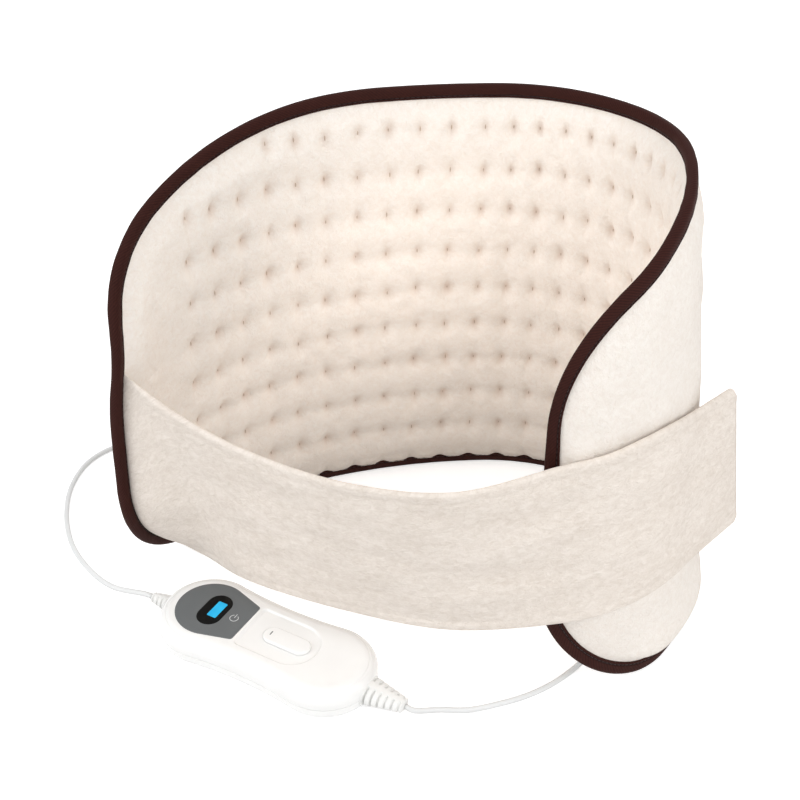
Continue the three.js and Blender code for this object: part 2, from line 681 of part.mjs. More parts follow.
// A round or oval solid along the cord's axis, from stations of place, radius and width over height
function turnedAlong(stations, sides = 16) {
  return toManifold(loft(stations.map(([u, radius, wide = 1]) =>
    circle(0, 0, radius, sides).map(([v, w]) => [u, wide * v, CORD_HEIGHT + w]))));
}

function pill(at, size, grow = 0) {
  const [length, width] = [size[0] + 2 * grow, size[1] + 2 * grow];
  const radius = Math.min(length, width) / 2;
  const [du, dv] = [length / 2 - radius, width / 2 - radius];
  const points = [];
  for (let j = 0; j < 24; j += 1) {
    const angle = ((j + 0.5) / 24) * Math.PI * 2;
    const [cos, sin] = [Math.cos(angle), Math.sin(angle)];
    points.push([at[0] + Math.sign(cos) * du + radius * cos, at[1] + Math.sign(sin) * dv + radius * sin]);
  }
  return points;
}

// The grey panel's outline: round at the window, straight sides drawn in to an end with small corners
function panelOutline(grow) {
  const centre = PANEL_LEFT + PANEL_RADIUS;
  const corner = [PANEL_RIGHT - PANEL_CORNER, PANEL_END_HALF - PANEL_CORNER];
  const reach = Math.hypot(corner[0] - centre, corner[1]);
  const side = Math.atan2(corner[1], corner[0] - centre) + Math.acos((PANEL_RADIUS - PANEL_CORNER) / reach);
  return [
    ...arc([centre, 0], PANEL_RADIUS + grow, side, 2 * Math.PI - side, 18),
    ...arc([corner[0], -corner[1]], PANEL_CORNER + grow, -side, 0, 4),
    ...arc(corner, PANEL_CORNER + grow, 0, side, 4),
  ];
}

// The knob's recess: small corners beside the panel, a half round at the other end
function recessOutline() {
  const quarter = Math.PI / 2;
  const corner = [RECESS_LEFT + RECESS_CORNER, RECESS_HALF - RECESS_CORNER];
  return [
    ...arc([RECESS_RIGHT - RECESS_HALF, 0], RECESS_HALF, -quarter, quarter, 12),
    ...arc(corner, RECESS_CORNER, quarter, 2 * quarter, 4),
    ...arc([corner[0], -corner[1]], RECESS_CORNER, 2 * quarter, 3 * quarter, 4),
  ];
}

const BODY_END = BODY_LENGTH / 2;
const screwPlaces = [[-1, -1], [-1, 1], [1, -1], [1, 1]].map(([u, v]) =>
  [u * (BODY_END - SCREW_FROM_END), v * SCREW_ASIDE]);
const UPPER_FROM = PARTING + FIT;
const TOP_INSIDE = BODY_HEIGHT - WALL;
const RECESS_FLOOR = BODY_HEIGHT - RECESS_DEPTH;
const PANEL_FLOOR = BODY_HEIGHT - PANEL_DEPTH;
const BOARD_TOP = BOARD_HEIGHT + BOARD_THICKNESS;
const neckHole = turnedAlong([[-BODY_END - 1, NECK + FIT], [BODY_END + 1, NECK + FIT]]);
const shankHole = (at, low, high) => prism(circle(at[0], at[1], SCREW_SHANK + FIT, 10), low, high);
const SCREW_TOP = SCREW_SINK + SCREW_LENGTH;

// Upper shell: a rounded cap with posts for the screws, pockets for panel and knob, and slots through the top
let upper = roundedBody(0, UPPER_FROM, BODY_HEIGHT, 0, TOP_ROUND)
  .subtract(roundedBody(WALL, UPPER_FROM - 1, TOP_INSIDE, 0, TOP_ROUND - WALL));
for (const at of screwPlaces) {
  upper = upper.add(prism(circle(at[0], at[1], BOSS_RADIUS), UPPER_FROM, TOP_INSIDE + 0.5));
  upper = upper.subtract(shankHole(at, UPPER_FROM - 1, SCREW_TOP + FIT));
}
const slotFrom = KNOB_AT - KNOB_TRAVEL - STEM_SIZE[0] / 2 - 0.5;
const slotTo = KNOB_AT + STEM_SIZE[0] / 2 + 0.5;
const slotHalf = STEM_SIZE[1] / 2 + 0.5;
upper = upper
  .subtract(prism(panelOutline(FIT), PANEL_FLOOR, BODY_HEIGHT + 1))
  .subtract(prism(recessOutline(), RECESS_FLOOR, BODY_HEIGHT + 1))
  .subtract(prism(pill([WINDOW_AT, 0], WINDOW_SIZE, -1.5), TOP_INSIDE - 1, BODY_HEIGHT + 1))
  .subtract(box([slotFrom, slotTo], [-slotHalf, slotHalf], [TOP_INSIDE - 1, BODY_HEIGHT + 1]))
  .subtract(neckHole);
addControl('controller_upper_shell', upper, WHITE_GLOSS);

// Lower shell: a tray with sunk screw holes and two rails under the board
let lower = roundedBody(0, 0, PARTING, FOOT_ROUND, 0)
  .subtract(roundedBody(WALL, WALL, PARTING + 1, FOOT_ROUND - WALL, 0));
for (const at of screwPlaces) {
  lower = lower.add(prism(circle(at[0], at[1], BOSS_RADIUS), WALL - 0.5, PARTING));
  lower = lower.subtract(prism(circle(at[0], at[1], SCREW_HEAD + FIT), -1, SCREW_SINK + FIT));
  lower = lower.subtract(shankHole(at, -1, PARTING + 1));
}
const railHalf = BOARD_SIZE[0] / 2 - 2 * RAIL_WIDTH;
for (const side of [-1, 1]) {
  const v = [side * RAIL_AT - RAIL_WIDTH / 2, side * RAIL_AT + RAIL_WIDTH / 2];
  lower = lower.add(box([-railHalf, railHalf], v, [WALL - 0.5, BOARD_HEIGHT - FIT]));
}
lower = lower.subtract(neckHole);
addControl('controller_lower_shell', lower, WHITE_GLOSS);

screwPlaces.forEach((at, i) => {
  const head = prism(circle(at[0], at[1], SCREW_HEAD), SCREW_SINK - 2, SCREW_SINK);
  const shank = prism(circle(at[0], at[1], SCREW_SHANK, 10), SCREW_SINK - 0.5, SCREW_TOP);
  const [long, narrow] = SCREW_CROSS.map((width) => [-width / 2, width / 2]);
  const slot = (u, v) => box(u.map((d) => at[0] + d), v.map((d) => at[1] + d), [0, SCREW_SINK - 1]);
  const cross = slot(long, narrow).add(slot(narrow, long));
  addControl(`case_screw_${i + 1}`, head.add(shank).subtract(cross), STEEL);
});

// Face of the controller
const panelTop = PANEL_FLOOR + FIT + PANEL_THICKNESS;
addControl('display_panel', prism(panelOutline(0), PANEL_FLOOR + FIT, panelTop)
  .subtract(prism(pill([WINDOW_AT, 0], WINDOW_SIZE), PANEL_FLOOR, panelTop + 1)), GREY_PANEL);
const windowTop = panelTop - 0.3;
const lightBox = (grow, low, high) => box(
  [LIGHT_AT[0] - LIGHT_SIZE[0] / 2 - grow, LIGHT_AT[0] + LIGHT_SIZE[0] / 2 + grow],
  [LIGHT_AT[1] - LIGHT_SIZE[1] / 2 - grow, LIGHT_AT[1] + LIGHT_SIZE[1] / 2 + grow],
  [low, high],
);
addControl('display_window', prism(pill([WINDOW_AT, 0], WINDOW_SIZE, -FIT), PANEL_FLOOR + FIT, windowTop)
  .subtract(lightBox(FIT, PANEL_FLOOR, windowTop + 1)), DARK_WINDOW);
const moduleTop = TOP_INSIDE - FIT;
addControl('level_light', lightBox(0, moduleTop + FIT, windowTop), BLUE_LIGHT);

// Slide knob: an oblong cap with a domed top and a short tick near one end, on a stem that reaches the switch
const knobLow = RECESS_FLOOR + FIT;
const knobTop = knobLow + KNOB_HEIGHT;
const knobRings = [[0, 0], [0, 0.55], [0.5, 0.85], [1.4, 1]].map(([inset, part]) =>
  pill([KNOB_AT, 0], KNOB_SIZE, -inset).map(([u, v]) => [u, v, knobLow + KNOB_HEIGHT * part]));
const tickAt = KNOB_AT - KNOB_SIZE[0] / 2 + TICK_FROM_END;
const switchTop = TOP_INSIDE - SWITCH_HEADROOM;
const stemHalf = [STEM_SIZE[0] / 2, STEM_SIZE[1] / 2];
const knob = toManifold(loft(knobRings))
  .subtract(box([tickAt - TICK_SIZE[0] / 2, tickAt + TICK_SIZE[0] / 2], [-TICK_SIZE[1] / 2, TICK_SIZE[1] / 2],
    [knobTop - TICK_DEPTH, knobTop + 1]))
  .add(box([KNOB_AT - stemHalf[0], KNOB_AT + stemHalf[0]], [-stemHalf[1], stemHalf[1]],
    [switchTop - SWITCH_WALL, knobLow + 0.5]));
addControl('slide_knob', knob, WHITE_GLOSS);

// Inside: board on its rails, with the parts that stand on it
const onBoard = BOARD_TOP + FIT;
const standing = ({ at, size, headroom }) => box([at[0] - size[0] / 2, at[0] + size[0] / 2],
  [at[1] - size[1] / 2, at[1] + size[1] / 2], [onBoard, TOP_INSIDE - headroom]);
const boardHalf = BOARD_SIZE.map((size) => size / 2);
addControl('circuit_board', box([-boardHalf[0], boardHalf[0]], [-boardHalf[1], boardHalf[1]],
  [BOARD_HEIGHT, BOARD_TOP]), BOARD_GREEN);
addControl('display_module', standing({ ...MODULE, headroom: FIT }), DARK_PLASTIC);
addControl('slide_switch', box([slotFrom - SWITCH_WALL, slotTo + SWITCH_WALL], [-SWITCH_HALF, SWITCH_HALF],
  [onBoard, switchTop]).subtract(box([slotFrom, slotTo], [-slotHalf, slotHalf],
  [switchTop - SWITCH_WALL - FIT, switchTop + 1])), DARK_PLASTIC);
addControl('film_capacitor', standing(CAPACITOR), DARK_PLASTIC);
addControl('triac', standing(TRIAC).add(standing(TRIAC_TAB)), DARK_PLASTIC);
const fuseCap = (from) => prism(circle(0, 0, FUSE.capRadius), from, from + FUSE.cap);
const fuse = prism(circle(0, 0, FUSE.radius), 0, FUSE.length)
  .add(fuseCap(0.5 - FUSE.cap))
  .add(fuseCap(FUSE.length - 0.5));
addControl('fuse', fuse.rotate([0, 90, 0]).translate([...FUSE.at, onBoard + FUSE.capRadius]), STEEL);
addControl('terminal_block_mains', standing(MAINS_BLOCK), DARK_PLASTIC);
addControl('terminal_block_pad', standing(PAD_BLOCK), DARK_PLASTIC);

// Stations of place and radius along a tapering row of ribs, from its root to its tip
function ribbed({ length, root, tip, ribs }) {
  const stations = [[0, root]];
  const pitch = length / (ribs + 0.5);
  for (let i = 0; i < ribs; i += 1) {
    const radius = root + (tip - root) * ((i + 0.5) / ribs);
    const groove = radius * 0.8;
    stations.push([(i + 0.55) * pitch, radius], [(i + 0.56) * pitch, groove]);
    stations.push([(i + 0.99) * pitch, groove * 0.97]);
    if (i < ribs - 1) stations.push([(i + 1) * pitch, radius + (tip - root) / ribs]);
  }
  stations.push([length - pitch * 0.49, tip], [length, tip * 0.94]);
  return stations;
}

// Strain relief: a flange inside the wall, a neck through it and a tapering row of ribs outside
function strainRelief(size, side) {
  const inside = END_CENTRE + Math.sqrt((END_RADIUS - WALL) ** 2 - FLANGE ** 2) - 3 * FIT;
  const outside = BODY_END + FIT;
  const stations = [
    [inside - FLANGE_THICKNESS, FLANGE], [inside, FLANGE], [inside + 0.01, NECK], [outside - 0.01, NECK],
    ...ribbed(size).map(([at, radius]) => [outside + at, radius, size.wide]),
  ];
  return turnedAlong(stations.map(([u, ...rest]) => [side * u, ...rest]));
}
addControl('strain_relief_mains', strainRelief(MAINS_RELIEF, -1), WHITE_CORD);
addControl('strain_relief_pad', strainRelief(PAD_RELIEF, 1), WHITE_CORD);

// Cords

function controlPoint(u, v, w) {
  return new THREE.Vector3(u, v, w).applyMatrix4(controlPlace).toArray();
}

function sampled(points, steps) {
  const curve = new THREE.CatmullRomCurve3(points.map((point) => new THREE.Vector3(...point)));
  return curve.getSpacedPoints(steps).map((point) => point.toArray());
}

const FLOOR_CORD = CORD_RADIUS + 0.1;
const padTip = BODY_END + FIT + PAD_RELIEF.length + FIT;
const glandMouth = GLAND_AT[0] + GLAND_LENGTH / 2 + 3 * FIT;
const PAD_ROUTE = [
  controlPoint(padTip, 0, CORD_HEIGHT), controlPoint(padTip + 5, 0, CORD_HEIGHT - 0.6),
  [4.5, -121.5, 4.6], [21.5, -119.5, 2.3], [39.5, -114.5, FLOOR_CORD], [54.5, -109, FLOOR_CORD],
  [66.5, -102.5, FLOOR_CORD], [77.5, -94.5, FLOOR_CORD], [87.5, -86, 3],
  padPoint(glandMouth + 8, GLAND_AT[1] - 1, GLAND_CENTRE), padPoint(glandMouth, GLAND_AT[1], GLAND_CENTRE),
];
addMesh('pad_lead', tube(sampled(PAD_ROUTE, 24), CORD_RADIUS, 8), WHITE_CORD);

const coilPitch = 2 * CORD_RADIUS + COIL_GAP;
const coilBase = TIE_THICKNESS + FIT + CORD_RADIUS;
const coilOuter = COIL_INNER + coilPitch * COIL_TURNS;
const mainsTip = -BODY_END - FIT - MAINS_RELIEF.length - FIT;
const coilStart = [COIL_AT[0] - COIL_STUB, COIL_AT[1] - coilOuter, coilBase];
const MAINS_ROUTE = [
  controlPoint(mainsTip, 0, CORD_HEIGHT), controlPoint(mainsTip - 5, 0, CORD_HEIGHT - 0.3),
  [-201.5, -18.5, 6], [-219.5, -0.5, 4], [-236, 26, 2.4], [-246, 58, FLOOR_CORD], [-248, 90.5, FLOOR_CORD],
  [-240.5, 118, FLOOR_CORD], [-224.5, 135, FLOOR_CORD], [-201.5, 144, FLOOR_CORD], [-171, 146, FLOOR_CORD],
  [-136, 143, FLOOR_CORD], [-101, 140, FLOOR_CORD],
  [coilStart[0] - COIL_LEAD, coilStart[1], coilBase - 0.1], [coilStart[0] - FIT, coilStart[1], coilBase],
];
addMesh('mains_lead', tube(sampled(MAINS_ROUTE, 48), CORD_RADIUS, 8), WHITE_CORD);

// The coil: in along the lower layer, up a layer in the half turn at the inside, out along the upper layer
function coilPath() {
  const path = [coilStart];
  const turns = 2 * COIL_TURNS + 0.5;
  const count = Math.round(turns * COIL_STEPS);
  for (let i = 0; i <= count; i += 1) {
    const turn = i / COIL_STEPS;
    const fromInside = Math.max(COIL_TURNS - turn, turn - COIL_TURNS - 0.5, 0);
    const climb = THREE.MathUtils.smootherstep(turn, COIL_TURNS, COIL_TURNS + 0.5);
    const radius = COIL_INNER + coilPitch * fromInside;
    const angle = (turn - 0.25) * Math.PI * 2;
    path.push([COIL_AT[0] + radius * Math.cos(angle), COIL_AT[1] + radius * Math.sin(angle),
      coilBase + coilPitch * climb]);
  }
  const [x, y, z] = path[path.length - 1];
  path.push([x - COIL_STUB, y, z]);
  return path;
}

const coil = coilPath();
let leastGap = Infinity;
for (let i = 0; i < coil.length; i += 1) {
  for (let j = i + Math.round(COIL_STEPS / 2); j < coil.length; j += 1) {
    const apart = Math.hypot(...coil[i].map((value, axis) => value - coil[j][axis]));
    leastGap = Math.min(leastGap, apart - 2 * CORD_RADIUS);
  }
}
console.log(`least gap between the coil's loops: ${leastGap.toFixed(2)} mm`);
addMesh('mains_coil', tube(coil, CORD_RADIUS, 6), WHITE_CORD);

// Tie: a band round both layers of the coil on one side
const tieInner = COIL_INNER - CORD_RADIUS - 1;
const tieOuter = coilOuter + CORD_RADIUS + 1;
const tieTop = coilBase + coilPitch + CORD_RADIUS + FIT;
const tieBlock = (grow, half) =>
  box([tieInner - grow, tieOuter + grow], [TIE_THICKNESS - grow, tieTop + grow], [-half, half]);
const tieBand = tieBlock(TIE_THICKNESS, TIE_WIDTH / 2).subtract(tieBlock(0, TIE_WIDTH));
const tie = fromManifold(tieBand.rotate([90, 0, 0]));
tie.translate(COIL_AT[0], COIL_AT[1], 0);
addMesh('coil_tie', tie, DARK_PLASTIC);

// Plug: strain relief, flat body that widens to the pin face, and two round pins
const coilEnd = coil[coil.length - 1];
const plugX = PLUG_START;
const plugY = coilEnd[1];
const TAIL_ROUTE = [
  [coilEnd[0] - FIT, coilEnd[1], coilEnd[2]], [coilEnd[0] - COIL_LEAD, coilEnd[1], coilEnd[2] - 0.5],
  [plugX + PLUG_LEAD, plugY, PLUG_HEIGHT + 0.4], [plugX + FIT, plugY, PLUG_HEIGHT],
];
addMesh('mains_tail', tube(sampled(TAIL_ROUTE, 6), CORD_RADIUS, 8), WHITE_CORD);
const plugRing = (x, halfWidth, halfHeight) => circle(0, 0, 1, 20).map(([c, s]) => [
  plugX - x,
  plugY + halfWidth * Math.sign(c) * Math.abs(c) ** 0.6,
  PLUG_HEIGHT + halfHeight * Math.sign(s) * Math.abs(s) ** 0.6,
]);
const bodyFrom = PLUG_RELIEF.length + FIT;
const bodyTo = bodyFrom + PLUG_LENGTH;
const alongPlug = (stations, y, sides) => loft(stations.map(([x, radius]) =>
  circle(y, PLUG_HEIGHT, radius, sides).map(([across, z]) => [plugX - x, across, z])));
const plugRibs = ribbed(PLUG_RELIEF).map(([x, radius]) => [PLUG_RELIEF.length - x, radius]);
addMesh('plug_relief', alongPlug(plugRibs, plugY, 12), WHITE_CORD);
const plugShape = [[0, 0.45, 0.75], [0.06, 0.6, 0.87], [0.32, 0.86, 0.96], [0.67, 0.99, 1], [0.96, 1, 1],
  [1, 0.93, 0.91]];
addMesh('plug_body', loft(plugShape.map(([part, wide, high]) =>
  plugRing(bodyFrom + PLUG_LENGTH * part, PLUG_HALF[0] * wide, PLUG_HALF[1] * high))), WHITE_CORD);
const pinFrom = bodyTo + FIT;
const pinTo = pinFrom + PIN_LENGTH;
for (const [name, side] of [['plug_pin_left', -1], ['plug_pin_right', 1]]) {
  const pin = [[pinFrom, PIN_RADIUS], [pinTo - 1, PIN_RADIUS], [pinTo, 0.6 * PIN_RADIUS]];
  addMesh(name, alongPlug(pin, plugY + (side * PIN_APART) / 2, 12), NICKEL);
}

export default group;
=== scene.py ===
"""Looks of a heated waist belt with an inline controller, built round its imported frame.

Lengths are in metres and +Z is up. The belt stands bent as if round a waist, its strap across the front (-Y),
and the controller lies on the floor in front of it. The sections follow the belt as it is put together.
"""
import math

import bmesh
import bpy
import numpy as np
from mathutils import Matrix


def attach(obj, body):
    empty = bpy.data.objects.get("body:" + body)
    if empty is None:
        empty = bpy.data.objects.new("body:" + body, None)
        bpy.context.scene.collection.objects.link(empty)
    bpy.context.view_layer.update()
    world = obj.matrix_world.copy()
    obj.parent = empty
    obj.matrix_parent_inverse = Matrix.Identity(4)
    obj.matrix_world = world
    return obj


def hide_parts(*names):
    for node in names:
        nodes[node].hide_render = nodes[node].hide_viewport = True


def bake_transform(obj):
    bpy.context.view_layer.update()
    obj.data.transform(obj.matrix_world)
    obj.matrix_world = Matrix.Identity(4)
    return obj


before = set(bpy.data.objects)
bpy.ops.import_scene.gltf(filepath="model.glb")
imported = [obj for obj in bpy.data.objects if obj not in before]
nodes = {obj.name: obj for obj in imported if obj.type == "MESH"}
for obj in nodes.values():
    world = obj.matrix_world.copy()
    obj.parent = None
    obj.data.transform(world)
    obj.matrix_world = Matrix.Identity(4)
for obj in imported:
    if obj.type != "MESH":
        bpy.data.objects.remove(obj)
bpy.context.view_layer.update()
scene = bpy.context.scene
scene.view_settings.view_transform = "Standard"

# Camera: a long lens in front of the belt and above it, at the photograph's viewing angle. It is level from
# side to side, points down and has no shift.
CAMERA_AT = (-0.0182, -0.7082, 0.642)
CAMERA_DOWN = 35.37
CAMERA_LENS = 65.56
camera_data = bpy.data.cameras.new("camera")
camera_data.lens = CAMERA_LENS
camera = bpy.data.objects.new("camera", camera_data)
camera.location = CAMERA_AT
camera.rotation_euler = (math.radians(90 - CAMERA_DOWN), 0, 0)
scene.collection.objects.link(camera)
scene.camera = camera

# Pad: the shape that all its layers share. A flat pattern with a straight lower edge, a domed upper edge
# and round corners is bent along a row of arcs and leans inward with height. The strap's pull dents the
# left end.
PAD_LENGTH, PAD_HEIGHT = 0.660, 0.300
CORNER = 0.090
DOME = 0.380
DOME_START = 0.215
DOME_CENTRE = PAD_HEIGHT - DOME
CORNER_TOP = DOME_CENTRE + math.sqrt((DOME - CORNER) ** 2 - (DOME_START - CORNER) ** 2)
PLAN_START = (-0.1882, -0.0247)
PLAN_HEADING = math.radians(74)
PLAN_ARCS = [(0.180, 0.189), (0.110, 0.366), (0.110, 0.132), (0.090, 0.105), (0.080, 0.132), (0.090, 0.084)]
LEAN_LEFT, LEAN_RIGHT, LEAN_MIDDLE = 0.0079, 0.0228, 0.0154
PULL_DEPTH, PULL_AT, PULL_HALF, PULL_LENGTH = 0.006, 0.190, 0.032, 0.080


def stacked(*parts):
    """Arrays brought to one shape and set side by side along a new last axis."""
    return np.stack(np.broadcast_arrays(*parts), axis=-1)


def hump(value, centre, half):
    """Bell curve of height one about a centre, which falls to 1/e at the half width."""
    return np.exp(-((value - centre) / half) ** 2)


def pad_point(s, z, inward):
    """Point at s along the belt and z up: the plan curve's place there, moved along its inward normal by
    the given distance, by the strap's pull near the left end and by the lean, which grows with height."""
    s, z, inward = np.broadcast_arrays(np.asarray(s, float), z, inward)
    x, y = (np.full(s.shape, start) for start in PLAN_START)
    heading = np.full(s.shape, PLAN_HEADING)
    left = s.copy()
    for length, radius in PLAN_ARCS:
        turn = np.minimum(left, length) / radius
        x += radius * (np.sin(heading) - np.sin(heading - turn))
        y += radius * (np.cos(heading - turn) - np.cos(heading))
        heading -= turn
        left -= np.minimum(left, length)
    part = s / PAD_LENGTH
    lean = LEAN_LEFT + (LEAN_RIGHT - LEAN_LEFT) * part + LEAN_MIDDLE * 4 * part * (1 - part)
    pull = PULL_DEPTH * np.maximum(1 - s / PULL_LENGTH, 0) ** 2 * hump(z, PULL_AT, PULL_HALF)
    away = inward + pull + lean * z / PAD_HEIGHT
    return stacked(x + np.sin(heading) * away, y - np.cos(heading) * away, z)


def edges(s, inset):
    """Heights of the pattern's lower and upper edge at s, drawn in by an inset. The lower is flat, with a
    quarter circle at each end; the upper is flat, then the dome's arc, then a corner's."""
    end = np.minimum(s, PAD_LENGTH - s)
    corner = np.sqrt(np.maximum((CORNER - inset) ** 2 - np.maximum(CORNER - end, 0) ** 2, 0))
    dome = np.sqrt((DOME - inset) ** 2 - np.maximum(DOME_START - end, 0) ** 2)
    join = DOME_START + (DOME - inset) * (CORNER - DOME_START) / (DOME - CORNER)
    return CORNER - corner, np.where(end < join, CORNER_TOP + corner, DOME_CENTRE + dome)


def edge_distance(s, z):
    """Distance in the flat pattern from a point to the nearest edge, or to the circle of its own corner."""
    end = np.minimum(s, PAD_LENGTH - s)
    below = (end < CORNER) & (z < CORNER)
    low = np.where(below, CORNER - np.hypot(CORNER - end, CORNER - z), np.minimum(end, z))
    dome = DOME - np.hypot(np.maximum(DOME_START - end, 0), z - DOME_CENTRE)
    slope = (CORNER_TOP - DOME_CENTRE) / (DOME_START - CORNER)
    above = (end < CORNER) & (z > CORNER_TOP) & (z - CORNER_TOP < slope * (CORNER - end))
    corner = CORNER - np.hypot(CORNER - end, z - CORNER_TOP)
    return np.minimum(low, np.where(above, corner, dome))


# Pile of the plush: short soft fibres, knitted into a backing and brushed up. They stand in small clumps,
# with wider patches where the nap lies another way. Covers, strap and tab are cut from it.


def linear(code):
    """Colour for a shader socket from six sRGB hex digits."""
    parts = [int(code[i:i + 2], 16) / 255 for i in (0, 2, 4)]
    return tuple(c / 12.92 if c <= 0.04045 else ((c + 0.055) / 1.055) ** 2.4 for c in parts) + (1.0,)


def wire_up(tree, made, inputs):
    """Sets a node's inputs: an output is linked, hex digits become a colour, the rest is set as given."""
    for name, value in inputs.items():
        if isinstance(value, bpy.types.NodeSocket):
            tree.links.new(value, made.inputs[name])
        else:
            made.inputs[name].default_value = linear(value) if isinstance(value, str) else value


def add(tree, kind, inputs=None, **settings):
    """A new shader node with its settings and its inputs: the node's outputs."""
    made = tree.nodes.new("ShaderNode" + kind)
    for name, value in settings.items():
        setattr(made, name, value)
    wire_up(tree, made, inputs or {})
    return made.outputs


def noise(tree, place, scale, detail, **more):
    """Soft irregular noise of a scale and a detail; the node's other inputs go by their names."""
    return add(tree, "TexNoise", {"Vector": place, "Scale": scale, "Detail": detail, **more})[0]


def ranged(tree, value, low, high):
    """A value between 0 and 1, spread from low to high."""
    return add(tree, "MapRange", {"Value": value, "To Min": low, "To Max": high})[0]


def between(tree, share, low, high):
    """Colour that goes from one to another by a share."""
    return add(tree, "Mix", {0: share, 6: low, 7: high}, data_type="RGBA")[2]


def toned(tree, colour, tone):
    """Colour made lighter or darker by a tone about one."""
    return add(tree, "Mix", {0: 1.0, 6: colour, 7: tone}, data_type="RGBA", blend_type="MULTIPLY")[2]


def raised(tree, height, strength, depth):
    """Normal of a surface that a height raises by up to a depth."""
    return add(tree, "Bump", {"Height": height, "Strength": strength, "Distance": depth})[0]


def weighted(tree, *parts):
    """Sum of outputs, each times its own weight, as a chain of multiply-add nodes."""
    total = 0.0
    for output, weight in parts:
        total = add(tree, "Math", {0: output, 1: weight, 2: total}, operation="MULTIPLY_ADD")[0]
    return total


def effect(name, inputs, outputs):
    """An empty node group of named value outputs and named inputs, of which Place is a vector: its tree,
    the outputs of its input node and its output node."""
    tree = bpy.data.node_groups.new(name, "ShaderNodeTree")
    for label in inputs:
        kind = "NodeSocketVector" if label == "Place" else "NodeSocketFloat"
        tree.interface.new_socket(label, in_out="INPUT", socket_type=kind)
    for label in outputs:
        tree.interface.new_socket(label, in_out="OUTPUT", socket_type="NodeSocketFloat")
    return tree, tree.nodes.new("NodeGroupInput").outputs, tree.nodes.new("NodeGroupOutput")


def blank_material(name):
    """A material whose tree holds its shader alone: the material, the tree and the shader."""
    made = bpy.data.materials.new(name)
    made.use_nodes = True
    return made, made.node_tree, made.node_tree.nodes["Principled BSDF"]


pile, pile_in, pile_out = effect("plush pile", ["Place"], ["Tone", "Height"])
fibres = noise(pile, pile_in["Place"], 950, 3, Roughness=0.7)
clumps = noise(pile, pile_in["Place"], 300, 2, Distortion=0.8)
patches = noise(pile, pile_in["Place"], 42, 3, Distortion=0.5)
wire_up(pile, pile_out, {"Tone": weighted(pile, (fibres, 0.35), (clumps, 0.45), (patches, 0.2)),
                         "Height": weighted(pile, (fibres, 0.5), (clumps, 0.5))})


def plush(name, light, shade, stretch=(1, 1, 1), pit_shade=None):
    """Short plush: the pile's tone runs between two creams and its height is the bump. Where a piece marks
    its tufts, a third, browner colour is painted shade in their pits. Stretch lengthens the nap along the
    piece."""
    made, tree, shader = blank_material(name)
    flat = add(tree, "UVMap", uv_map="surface")[0]
    place = add(tree, "Mapping", {"Vector": flat, "Scale": stretch})[0]
    nap = add(tree, "Group", {"Place": place}, node_tree=pile)
    tone = add(tree, "MapRange", {"Value": nap["Tone"], "From Min": 0.36, "From Max": 0.62})[0]
    colour = between(tree, tone, shade, light)
    if pit_shade:
        # Painted shade: near each tuft the colour turns to the browner cream, which stands for the shade in
        # its pit.
        colour = between(tree, add(tree, "Attribute", attribute_name="tuft")["Fac"], colour, pit_shade)
    wire_up(tree, shader, {"Base Color": colour, "Normal": raised(tree, nap["Height"], 0.8, 0.0014),
                           "Roughness": 0.95, "Specular IOR Level": 0.15, "Sheen Weight": 0.25,
                           "Sheen Roughness": 0.45, "Sheen Tint": "fff4ea"})
    return made


# Pad layers: two plush covers with wadding between them, cut to one pattern. Distances are from the mid
# surface, inward positive. The inner cover is sewn through in rows of tufts, and all edges run under the
# tape.
LAYER_INSET = 0.0019
OUTER_FACE, OUTER_BACK = -0.0065, -0.0040
WADDING_FROM, WADDING_TO = -0.0037, -0.0003
INNER_BACK, HEM_FACE = 0.0022, 0.0048
MARGIN_RISE, CROWN_RISE = 0.0027, 0.0044
HEM = 0.0089
PINCH = 0.33
PINCH_REACH = 0.016
PINCH_CENTRE = (OUTER_FACE + HEM_FACE) / 2
TUFT_COLUMNS, TUFT_PITCH, TUFT_FIRST = 24, 0.0208, 0.074
TUFT_ROWS, TUFT_ROW_PITCH, TUFT_ROW_FIRST = 9, 0.0292, 0.0406
TUFT_STRAY = 0.0005
TUFT_DEPTH = CROWN_RISE + 0.0004
# Share of the browner colour painted as shade at a tuft's centre:
PIT_SHADE_SHARE = 0.55
HOLLOW_RADIUS, HOLLOW_SQUASH, HOLLOW_SHARE = 0.0066, 0.8, 0.62
PIT_RADIUS, PIT_TALL, PIT_SHARE = 0.0026, 1.8, 0.4
SEWN_INSET = 0.016
SEWN_BAND, SEWN_ENDS = (0.012, 0.032), (-0.9, -0.1)
VALLEY_SHARP = 4
ROW_VALLEY, ROW_VALLEY_LOW, LOW_BAND = 0.1, 0.08, (0.16, 0.08)
COLUMN_VALLEY, COLUMN_VALLEY_RIGHT, RIGHT_BAND = 0.08, 0.1, (0.36, 0.46)
SCALLOP, SCALLOP_BAND, SCALLOP_PUFF = 0.003, (0.06, 0.02), 1.6
SCALLOP_AT, SCALLOP_HALF = HEM + 0.001, 0.004
INNER_LUMPS, INNER_BAND = [(0.00035, 0.035, 1), (0.00014, 0.011, 2)], (0.012, 0.03)
OUTER_LUMPS, OUTER_BAND = [(0.0004, 0.05, 3), (0.0002, 0.016, 4)], (0.011, 0.03)
OUTER_PUFF = 0.0006
BULGE, BULGE_EDGE, BULGE_LOW = 0.0078, (HEM, HEM + 0.008), (0.04, 0.004)
BULGE_START, BULGE_END = (0.44, 0.54), (0.63, 0.575)
tuft_random = np.random.default_rng(4)
tuft_shift = tuft_random.normal(0, TUFT_STRAY, (2, TUFT_COLUMNS, TUFT_ROWS))
tuft_pull = tuft_random.uniform(0.65, 1.1, (TUFT_COLUMNS, TUFT_ROWS))
tuft_s = TUFT_FIRST + TUFT_PITCH * np.arange(TUFT_COLUMNS)[:, None] + tuft_shift[0]
tuft_z = TUFT_ROW_FIRST + TUFT_ROW_PITCH * np.arange(TUFT_ROWS)[None, :] + tuft_shift[1]
tuft_sewn = edge_distance(tuft_s, tuft_z) > SEWN_INSET


